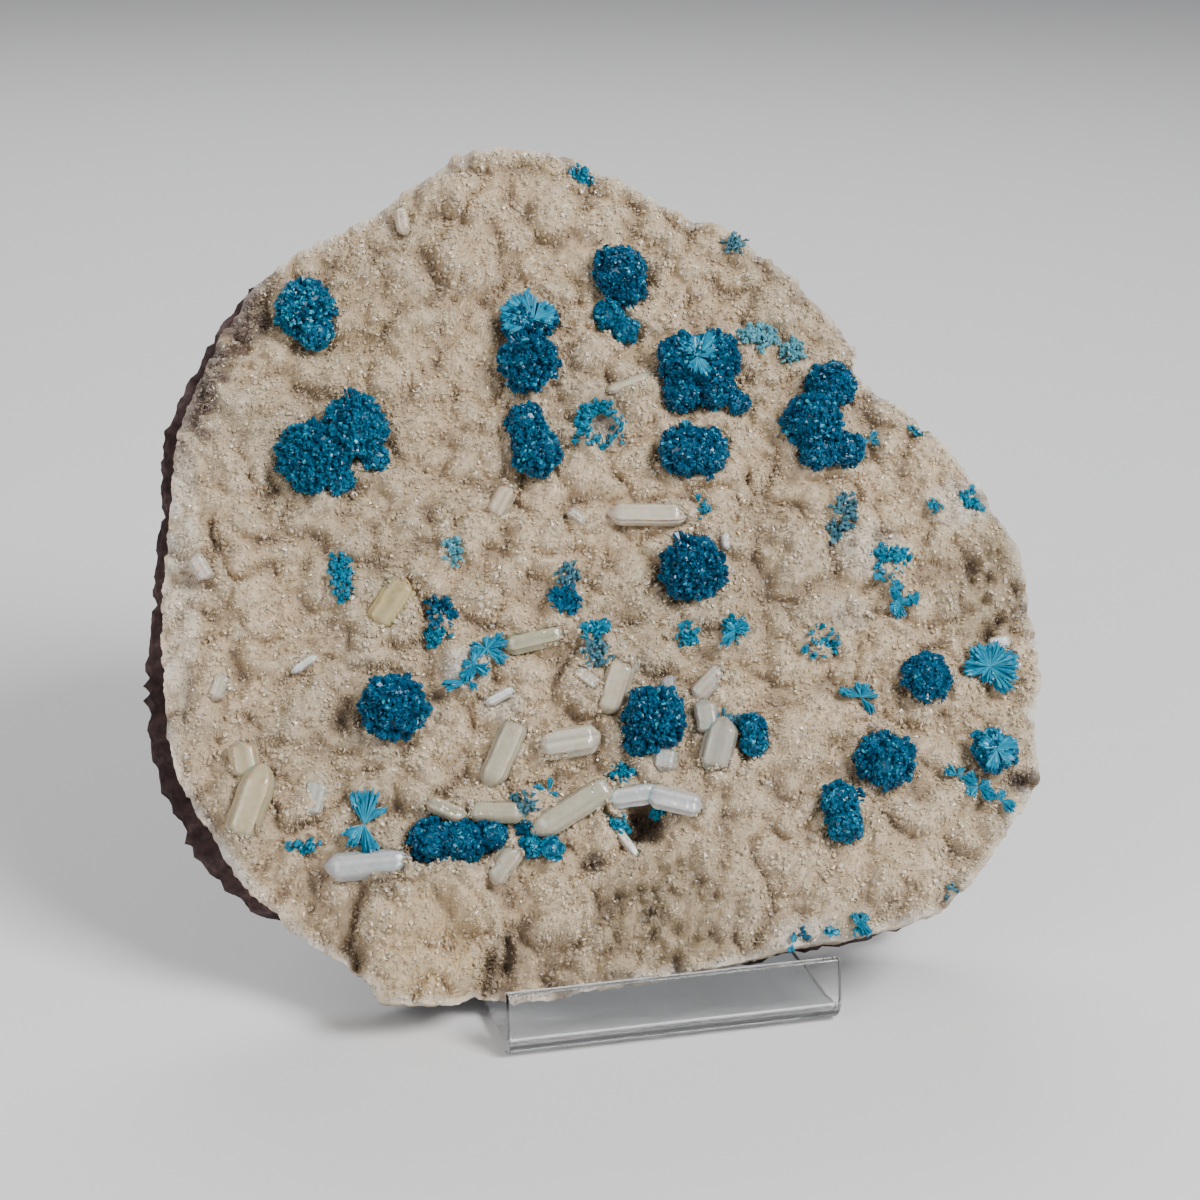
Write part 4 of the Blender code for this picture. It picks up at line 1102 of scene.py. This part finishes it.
# Patches of scattered cavansite blades: (u, v, half u, half v, tone, blades for each square mm)
PATCHES = (
    (-0.2, -8.4, 1.9, 1.4, CYAN, 12), (-0.2, -12.0, 1.8, 1.3, GREY_TEAL, 9),
    (-4.7, -3.7, 2.0, 1.8, BLUE, 14), (-4.1, 0.4, 1.5, 1.6, GREY_TEAL, 9), (-23.4, -5.0, 1.6, 2.6, BLUE, 8),
    (-24.2, -9.0, 1.2, 1.6, CYAN, 10), (-38.4, 0.3, 1.2, 3.7, CYAN, 12),
    (-21.6, 4.1, 1.1, 2.0, PALE_TEAL, 8), (13.3, -9.0, 1.2, 1.4, CYAN, 12), (20.9, -8.4, 1.5, 1.5, CYAN, 9),
    (34.0, -10.6, 3.2, 2.2, CYAN, 1.8), (43.7, 3.0, 1.3, 1.0, CYAN, 14), (46.4, 3.0, 1.1, 1.1, CYAN, 14),
    (44.2, 0.6, 2.4, 1.0, CYAN, 2.5), (57.6, 12.7, 0.8, 0.7, CYAN, 16), (59.2, 10.8, 1.2, 0.7, CYAN, 12),
    (52.8, 11.3, 0.7, 0.7, CYAN, 9), (38.2, 10.3, 1.4, 2.4, GREY_TEAL, 8),
    (36.5, 7.0, 1.2, 1.6, GREY_TEAL, 8), (25.8, 38.0, 2.8, 1.4, PALE_TEAL, 11),
    (31.5, 36.0, 1.4, 1.8, PALE_TEAL, 9), (-0.5, 65.8, 2.0, 1.0, CYAN, 9),
    (23.0, 53.8, 1.2, 1.2, GREY_TEAL, 9), (50.3, 23.7, 0.7, 0.6, CYAN, 10),
    (-44.4, -40.5, 2.0, 0.8, CYAN, 9), (19.8, -22.6, 2.3, 0.9, GREY_TEAL, 9),
    (3.0, -30.4, 2.0, 1.4, CYAN, 8), (-11.4, -38.2, 1.6, 1.6, BLUE, 12), (2.2, -37.6, 0.9, 1.4, CYAN, 16),
    (8.5, -36.3, 1.0, 0.7, CYAN, 12), (-7.7, -25.2, 0.5, 0.6, CYAN, 12),
    (51.8, -48.5, 0.5, 1.5, GREY_TEAL, 9), (38.1, -53.2, 1.2, 1.2, CYAN, 9),
    (-11.4, -34.6, 1.6, 1.2, GREY_TEAL, 8), (16.4, 10.4, 1.0, 1.8, CYAN, 3),
    (28.6, -54.6, 0.7, 0.6, BLUE, 10), (33.4, -53.4, 0.6, 0.5, CYAN, 12),
)
SPECK_RING = (1.2, 24.0, 3.3)  # u, v and radius
RING_MIDDLE = math.radians(150)  # the ring is thickest on its left
RING_SPREAD = 1.3
SPECKS_IN_RING = 190
SPRAY_RISE = 0.9


def make_small_cavansite(material):
    """All the small sprays, patches and specks, as one joined mesh."""
    rng = np.random.default_rng(300)
    groups = []
    for u, v, petals in SPRAYS:
        centre = np.array((u, v, sample(relief, u, v) + SPRAY_RISE - edge_drop(u, v)))
        centre[:2] -= np.array(VIEW_SHIFT) * centre[2]
        groups.append(fan_rays(centre, petals, rng, *LOOSE_SPRAY))
    places = []
    for u, v, half_u, half_v, tone, density in PATCHES:
        count = max(10, int(math.pi * half_u * half_v * density))
        angle = rng.uniform(0, TURN, count)
        reach = rng.uniform(0, 1, count) ** 0.6
        places.append((u + half_u * reach * np.cos(angle), v + half_v * reach * np.sin(angle),
                       np.broadcast_to(tone, (count, 3))))
    angle = rng.normal(RING_MIDDLE, RING_SPREAD, SPECKS_IN_RING)
    reach = SPECK_RING[2] * rng.uniform(0.75, 1.25, SPECKS_IN_RING)
    places.append((SPECK_RING[0] + reach * np.cos(angle), SPECK_RING[1] + reach * np.sin(angle),
                   np.broadcast_to(CYAN, (SPECKS_IN_RING, 3))))
    u = np.concatenate([spots[0] for spots in places])
    v = np.concatenate([spots[1] for spots in places])
    tones = np.concatenate([spots[2] for spots in places])
    lifted = sample(relief, u, v) + SPRAY_RISE
    u = u - VIEW_SHIFT[0] * lifted
    v = v - VIEW_SHIFT[1] * lifted
    count = len(u)
    inside = np.hypot(u, v) < crust_edge(np.arctan2(v, u)) * 0.985
    normals = unit(np.stack([-sample(slope_u, u, v), -sample(slope_v, u, v), np.ones(count)], 1))
    directions = unit(normals + rng.normal(size=(count, 3)) * 0.6)
    roots = np.stack([u, v, sample(relief, u, v) - edge_drop(u, v)], 1)
    lengths = rng.uniform(1.0, 1.8, count)
    widths = rng.uniform(0.26, 0.5, count)
    shade = rng.uniform(0.6, 1.1, count)[:, None]
    groups.append(crystals(OBELISK, roots[inside], directions[inside], lengths[inside], widths[inside],
                           widths[inside] * 0.5, (tones * 0.8)[inside], (tones * shade)[inside], rng))
    points, triangles, tints = joined(groups)
    make_piece("cavansite_sprays_and_specks", to_row(points), triangles, tints, material)


# The colour of each stilbite node
BLADE_LOOKS = {
    "stilbite_left_plate": (0.52, 0.42, 0.22),
    "stilbite_corner_blade": (0.50, 0.42, 0.27),
    "stilbite_satin_bar": (0.52, 0.54, 0.54),
    "stilbite_centre_bar": (0.60, 0.54, 0.43),
    "stilbite_nub": (0.56, 0.47, 0.35),
    "stilbite_sliver": (0.54, 0.48, 0.36),
    "stilbite_green_bar": (0.42, 0.40, 0.28),
    "stilbite_tooth": (0.56, 0.50, 0.38),
    "stilbite_wedge": (0.56, 0.50, 0.40),
    "stilbite_streaked": (0.54, 0.50, 0.42),
    "stilbite_grey_pair": (0.40, 0.39, 0.33),
    "stilbite_pointed": (0.58, 0.54, 0.44),
    "stilbite_leaning_tooth": (0.48, 0.44, 0.33),
    "stilbite_ledge": (0.44, 0.40, 0.29),
    "stilbite_ledge_left": (0.44, 0.40, 0.29),
    "stilbite_small_tooth": (0.48, 0.44, 0.34),
    "stilbite_long_blade": (0.48, 0.45, 0.34),
    "stilbite_needle": (0.56, 0.54, 0.46),
    "stilbite_arch": (0.54, 0.55, 0.54),
}
BLADE_STATIONS = 34
BLADE_SIDES = 30
GROOVES = 0.045
STREAKS = 0.12
END_FROM = (0.48, 0.72)  # where the ends begin, in shares of the half length
NARROWED_BY = (0.62, 0.88)
THINNED_BY = 0.8
SKEW = 0.22
WOBBLE = 0.06
CHIPS = 0.015

# Small crystals with no node of their own: as BLADES above, then the colour
SMALL_BLADES = (
    ((-42.5, -33.5, 75, 5.0, 3.4, 2.0, 0.3, 6), (0.56, 0.54, 0.48)),
    ((-2.8, 9.3, -40, 3.4, 1.7, 1.5, 0.6, 8), (0.62, 0.56, 0.46)),
    ((3.8, -12.5, -60, 6.0, 3.0, 2.0, 0.3, 4), (0.50, 0.46, 0.36)),
    ((10.4, -17.2, 100, 3.0, 2.2, 1.8, 1.0, 10), (0.42, 0.42, 0.40)),
    ((9.4, -28.3, 80, 3.8, 3.6, 2.4, 0.8, 5), (0.46, 0.46, 0.42)),
    ((61.2, -11.0, 10, 3.4, 2.0, 1.8, 0.8, 8), (0.70, 0.69, 0.66)),
    ((19.8, 5.3, 95, 2.8, 1.4, 1.4, 0.7, 8), (0.72, 0.71, 0.68)),
    ((-15.0, -18.6, 28, 4.6, 1.5, 1.4, 0.5, 6), (0.70, 0.68, 0.64)),
    ((-28.8, 56.6, 98, 4.2, 2.2, 1.8, 0.5, 5), (0.62, 0.54, 0.42)),
    ((-59.4, 1.6, 120, 4.2, 2.4, 1.8, 0.4, 5), (0.64, 0.58, 0.50)),
    ((-44.0, -13.4, 35, 4.4, 1.3, 1.2, 0.5, 6), (0.70, 0.68, 0.64)),
    ((-56.6, -16.8, 70, 4.0, 2.6, 1.8, 0.4, 6), (0.58, 0.53, 0.42)),
)


def hexagon_ring(count):
    """Points round a flat six-sided section: (across, over), each from -1 to 1."""
    corners = np.array(((1, 0), (0.66, 0.92), (-0.6, 1), (-1, 0), (-0.66, -0.92), (0.6, -1), (1, 0)))
    position = np.arange(count) * 6 / count
    first = position.astype(int)
    share = (position - first)[:, None]
    ring = corners[first] * (1 - share) + corners[first + 1] * share
    return ring[:, 0], ring[:, 1]


def blade_crystal(crystal, seed, colour, rng):
    """A tabular crystal lofted from rounded hexagons, with grooves along it and a chisel end."""
    u, v, w, angle, length, width, thickness, tilt = crystal
    stations = np.linspace(-1, 1, BLADE_STATIONS)
    across, over = hexagon_ring(BLADE_SIDES)
    grooves = 1 + GROOVES * rng.normal(size=BLADE_SIDES)
    start_of_end = rng.uniform(*END_FROM, 2)
    narrowest = rng.uniform(*NARROWED_BY, 2)
    skew = rng.uniform(-SKEW, SKEW, 2)
    points, tints = [], []
    for station in stations:
        side = int(station > 0)
        end = max(0.0, (abs(station) - start_of_end[side]) / (1 - start_of_end[side]))
        narrow = 1 - narrowest[side] * end ** 1.9
        thin = 1 - THINNED_BY * end ** 1.7
        wobble = WOBBLE * noise.noise(Vector((station * 2.3, seed, 0.0)))
        x = station * length / 2
        y = across * grooves * narrow * width / 2 * (1 + wobble) + skew[side] * end * width / 2
        z = over * grooves * thin * thickness / 2 * (1 - wobble)
        chips = CHIPS * rng.normal(size=BLADE_SIDES)
        points.append(np.stack([np.full(BLADE_SIDES, x) + chips * 3, y + chips, z + chips], 1))
        streak = 1 + STREAKS * (grooves - 1) / GROOVES
        tints.append(np.asarray(colour)[None, :] * streak[:, None] * (1.02 - 0.10 * end))
    body = np.concatenate(points)
    count = BLADE_SIDES
    triangles = []
    for row in range(BLADE_STATIONS - 1):
        a = row * count + np.arange(count)
        b = row * count + (np.arange(count) + 1) % count
        triangles.append(np.stack([a, b, b + count], 1))
        triangles.append(np.stack([a, b + count, a + count], 1))
    ends = np.stack([body[:count].mean(axis=0) - (0.02 * length, 0, 0),
                     body[-count:].mean(axis=0) + (0.02 * length, 0, 0)])
    start = len(body)
    ring = np.arange(count)
    triangles.append(np.stack([np.full(count, start), (ring + 1) % count, ring], 1))
    last = (BLADE_STATIONS - 1) * count
    triangles.append(np.stack([np.full(count, start + 1), last + ring, last + (ring + 1) % count], 1))
    body = np.concatenate([body, ends])
    tints = np.concatenate(tints + [np.tile(colour, (2, 1))])
    turned = Matrix.Rotation(math.radians(angle), 3, "Z") @ Matrix.Rotation(math.radians(-tilt), 3, "Y")
    placed = body @ np.array(turned).T + np.array((u, v, w))
    return placed, np.concatenate(triangles), tints


def make_blades(material):
    for number, (name, parts) in enumerate(CRYSTALS.items()):
        rng = np.random.default_rng(400 + number)
        groups = [blade_crystal(part, number + 3.1 * index, BLADE_LOOKS[name], rng)
                  for index, part in enumerate(parts)]
        points, triangles, tints = joined(groups)
        make_piece(name + "_crystal", to_row(points), triangles, tints, material, name,
                   smooth=True)
    rng = np.random.default_rng(500)
    groups = []
    for number, (crystal, colour) in enumerate(SMALL_BLADES):
        seated_crystal = (*place(crystal[0], crystal[1], crystal[6]), *crystal[2:6], crystal[7])
        groups.append(blade_crystal(seated_crystal, 50 + number, colour, rng))
    points, triangles, tints = joined(groups)
    make_piece("stilbite_small_crystals", to_row(points), triangles, tints, material, smooth=True)


BASALT_CELLS = 96
BASALT_ROWS = 26
BASALT_ROUGHNESS = 0.7
BACK_EDGE_RISE = 4.0
BACK_GRAIN = 1.1
PURPLE = (0.034, 0.019, 0.020)
PURPLE_PALE = (0.11, 0.07, 0.068)


def make_basalt(material):
    def back(u, v):
        fine = np.array([noise.fractal(Vector((a / 9, b / 9, 1.5)), 0.7, 2.0, 6) for a, b in zip(u, v)])
        return np.array([back_height(a, b) for a, b in zip(u, v)]) + fine * BACK_GRAIN

    def under_plane(u, v):
        return plane_height(u, v) - GAP * 0.3

    points, triangles, _ = slab(polar_radius(basalt_outline()), BASALT_CELLS, back, under_plane,
                                -BACK_EDGE_RISE, BASALT_ROWS, BASALT_ROUGHNESS, 9.0)
    shade = np.array([noise.fractal(Vector(p) / 5.0, 0.6, 2.0, 5) for p in points])
    tints = mix(PURPLE, PURPLE_PALE, np.clip(shade * 0.7 + 0.3, 0, 1))
    row_points = seated(to_row(points))
    make_piece("basalt_slab", row_points, facing_out(row_points, triangles), tints, material,
               "basalt_matrix")


def stand_profile():
    half = SHEET / 2
    lip_y = LIP_FRONT_Y + half
    lip_top = (lip_y + LIP_HEIGHT * math.tan(LIP_LEAN), LIP_HEIGHT)
    rest_foot = (REST_Y, half)
    rest_top = (REST_Y + REST_HEIGHT * math.tan(REST_LEAN), REST_HEIGHT)
    return [lip_top, (lip_y, half), rest_foot, rest_top, (STRUT_FOOT_Y, half * 0.15)]


def rounded(corners, radius, steps):
    """The same line with its inner corners turned into arcs."""
    line = [corners[0]]
    for before, corner, after in zip(corners, corners[1:], corners[2:]):
        corner = Vector(corner)
        towards = (Vector(before) - corner).normalized()
        onwards = (Vector(after) - corner).normalized()
        half_angle = towards.angle(onwards) / 2
        centre = corner + (towards + onwards).normalized() * radius / math.sin(half_angle)
        start = corner + towards * radius / math.tan(half_angle) - centre
        end = corner + onwards * radius / math.tan(half_angle) - centre
        for step in range(steps + 1):
            line.append(tuple(centre + radius * start.slerp(end, step / steps)))
    line.append(corners[-1])
    return line


def make_stand(material):
    """The easel's bent sheet, with smooth bends and softened edges."""
    bm = bmesh.new()
    line = rounded(stand_profile(), BEND_RADIUS, BEND_STEPS)
    verts = [bm.verts.new((-STAND_WIDTH / 2 * MM, y * MM, z * MM)) for y, z in line]
    edges = [bm.edges.new(pair) for pair in zip(verts, verts[1:])]
    made = bmesh.ops.extrude_edge_only(bm, edges=edges)["geom"]
    swept = [item for item in made if isinstance(item, bmesh.types.BMVert)]
    bmesh.ops.translate(bm, verts=swept, vec=(STAND_WIDTH * MM, 0, 0))
    bmesh.ops.recalc_face_normals(bm, faces=bm.faces)
    mesh = bpy.data.meshes.new("easel_sheet")
    bm.to_mesh(mesh)
    bm.free()
    obj = bpy.data.objects.new("easel_sheet", mesh)
    bpy.context.scene.collection.objects.link(obj)
    mesh.materials.append(material)
    solidify = obj.modifiers.new("sheet", "SOLIDIFY")
    solidify.thickness = SHEET * MM
    solidify.offset = 0
    solidify.use_even_offset = True
    bevel = obj.modifiers.new("soft_edges", "BEVEL")
    bevel.width = 0.2 * MM
    bevel.segments = 2
    bevel.limit_method = "ANGLE"
    bevel.angle_limit = math.radians(50)
    mesh.shade_smooth()
    smooth = obj.modifiers.new("flat_faces", "WEIGHTED_NORMAL")
    smooth.keep_sharp = True
    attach(obj, "root")
    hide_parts("display_stand")
    return obj


# The camera, from the easel's lip in the photograph: row millimetres and degrees
CAMERA_PLACE = (-112.8, -369.7, 199.7)
CAMERA_YAW = math.radians(15.83)
CAMERA_PITCH = math.radians(19.51)
CAMERA_ROLL = math.radians(1.24)
CAMERA_LENS = 84.0


def make_camera():
    forward = Vector((math.sin(CAMERA_YAW) * math.cos(CAMERA_PITCH),
                      math.cos(CAMERA_YAW) * math.cos(CAMERA_PITCH), -math.sin(CAMERA_PITCH)))
    right = Vector((math.cos(CAMERA_YAW), -math.sin(CAMERA_YAW), 0))
    down = forward.cross(right)
    rolled_right = right * math.cos(CAMERA_ROLL) - down * math.sin(CAMERA_ROLL)
    rolled_down = right * math.sin(CAMERA_ROLL) + down * math.cos(CAMERA_ROLL)
    axes = Matrix((rolled_right, -rolled_down, -forward)).transposed()
    data = bpy.data.cameras.new("camera")
    data.lens = CAMERA_LENS
    data.sensor_width = 36
    data.sensor_height = 36
    data.sensor_fit = "HORIZONTAL"
    data.clip_start = 0.01
    obj = bpy.data.objects.new("camera", data)
    obj.matrix_world = Matrix.Translation(Vector(CAMERA_PLACE) * MM) @ axes.to_4x4()
    bpy.context.scene.collection.objects.link(obj)
    bpy.context.scene.camera = obj


# Soft studio lights: (place in metres, size in metres, watts)
LIGHTS = (
    ("key", (0.36, -0.56, 0.68), (0.35, 0.35), 13.2),
    ("fill", (-0.75, -0.55, 0.50), (0.5, 0.5), 4.4),
    ("back", (0.10, 0.75, 0.70), (0.7, 0.3), 5.0),
)


AIM = (0, 0.01, 0.06)
FLOOR_HALF = 4
FLOOR_GREY = 0.72
SKY = (0.9, 0.92, 0.95, 1)
SKY_STRENGTH = 0.30


def make_studio():
    mesh = bpy.data.meshes.new("floor")
    corners = [(x * FLOOR_HALF, y * FLOOR_HALF, 0) for x, y in ((-1, -1), (1, -1), (1, 1), (-1, 1))]
    mesh.from_pydata(corners, [], [(0, 1, 2, 3)])
    floor = bpy.data.objects.new("floor", mesh)
    bpy.context.scene.collection.objects.link(floor)
    material = bpy.data.materials.new("pale_floor")
    material.use_nodes = True
    shader = material.node_tree.nodes["Principled BSDF"]
    shader.inputs["Base Color"].default_value = (FLOOR_GREY, FLOOR_GREY, FLOOR_GREY, 1)
    shader.inputs["Roughness"].default_value = 0.6
    mesh.materials.append(material)
    for name, spot, size, watts in LIGHTS:
        data = bpy.data.lights.new(name, "AREA")
        data.shape = "RECTANGLE"
        data.size, data.size_y = size
        data.energy = watts
        lamp = bpy.data.objects.new(name, data)
        lamp.location = spot
        aim = Vector(AIM) - Vector(spot)
        lamp.rotation_euler = aim.to_track_quat("-Z", "Y").to_euler()
        bpy.context.scene.collection.objects.link(lamp)
    world = bpy.data.worlds.new("studio")
    world.use_nodes = True
    world.node_tree.nodes["Background"].inputs["Color"].default_value = SKY
    world.node_tree.nodes["Background"].inputs["Strength"].default_value = SKY_STRENGTH
    bpy.context.scene.world = world


zeolite = tinted_material("zeolite_druse", 0.22, 0.10, 2500, 0.05, 0.06,
                          {"Specular IOR Level": 0.5, "Subsurface Weight": 0.5,
                           "Subsurface Radius": (1.0, 0.85, 0.65), "Subsurface Scale": 0.0014})
ground = tinted_material("zeolite_ground", 0.5, 0.12, 1800, 0.15, 0.10, {"Specular IOR Level": 0.35})
blue = tinted_material("cavansite_blue", 0.26, 0.08, 1800, 0.03, 0.16, {"Specular IOR Level": 0.28})
satin = tinted_material("stilbite_satin", 0.26, 0.10, 1500, 0.04, 0.06,
                        {"Subsurface Weight": 0.55, "Subsurface Scale": 0.0025, "Transmission Weight": 0.25,
                         "Coat Weight": 0.25})
purple = tinted_material("basalt_broken", 0.85, 0.08, 1400, 0.25, 0.35, {"Specular IOR Level": 0.25})

make_crust(ground)
make_druse(zeolite)
make_rosettes(blue)
make_fans(blue)
make_small_cavansite(blue)
make_blades(satin)
make_basalt(purple)
make_stand(acrylic_material())
make_camera()
make_studio()
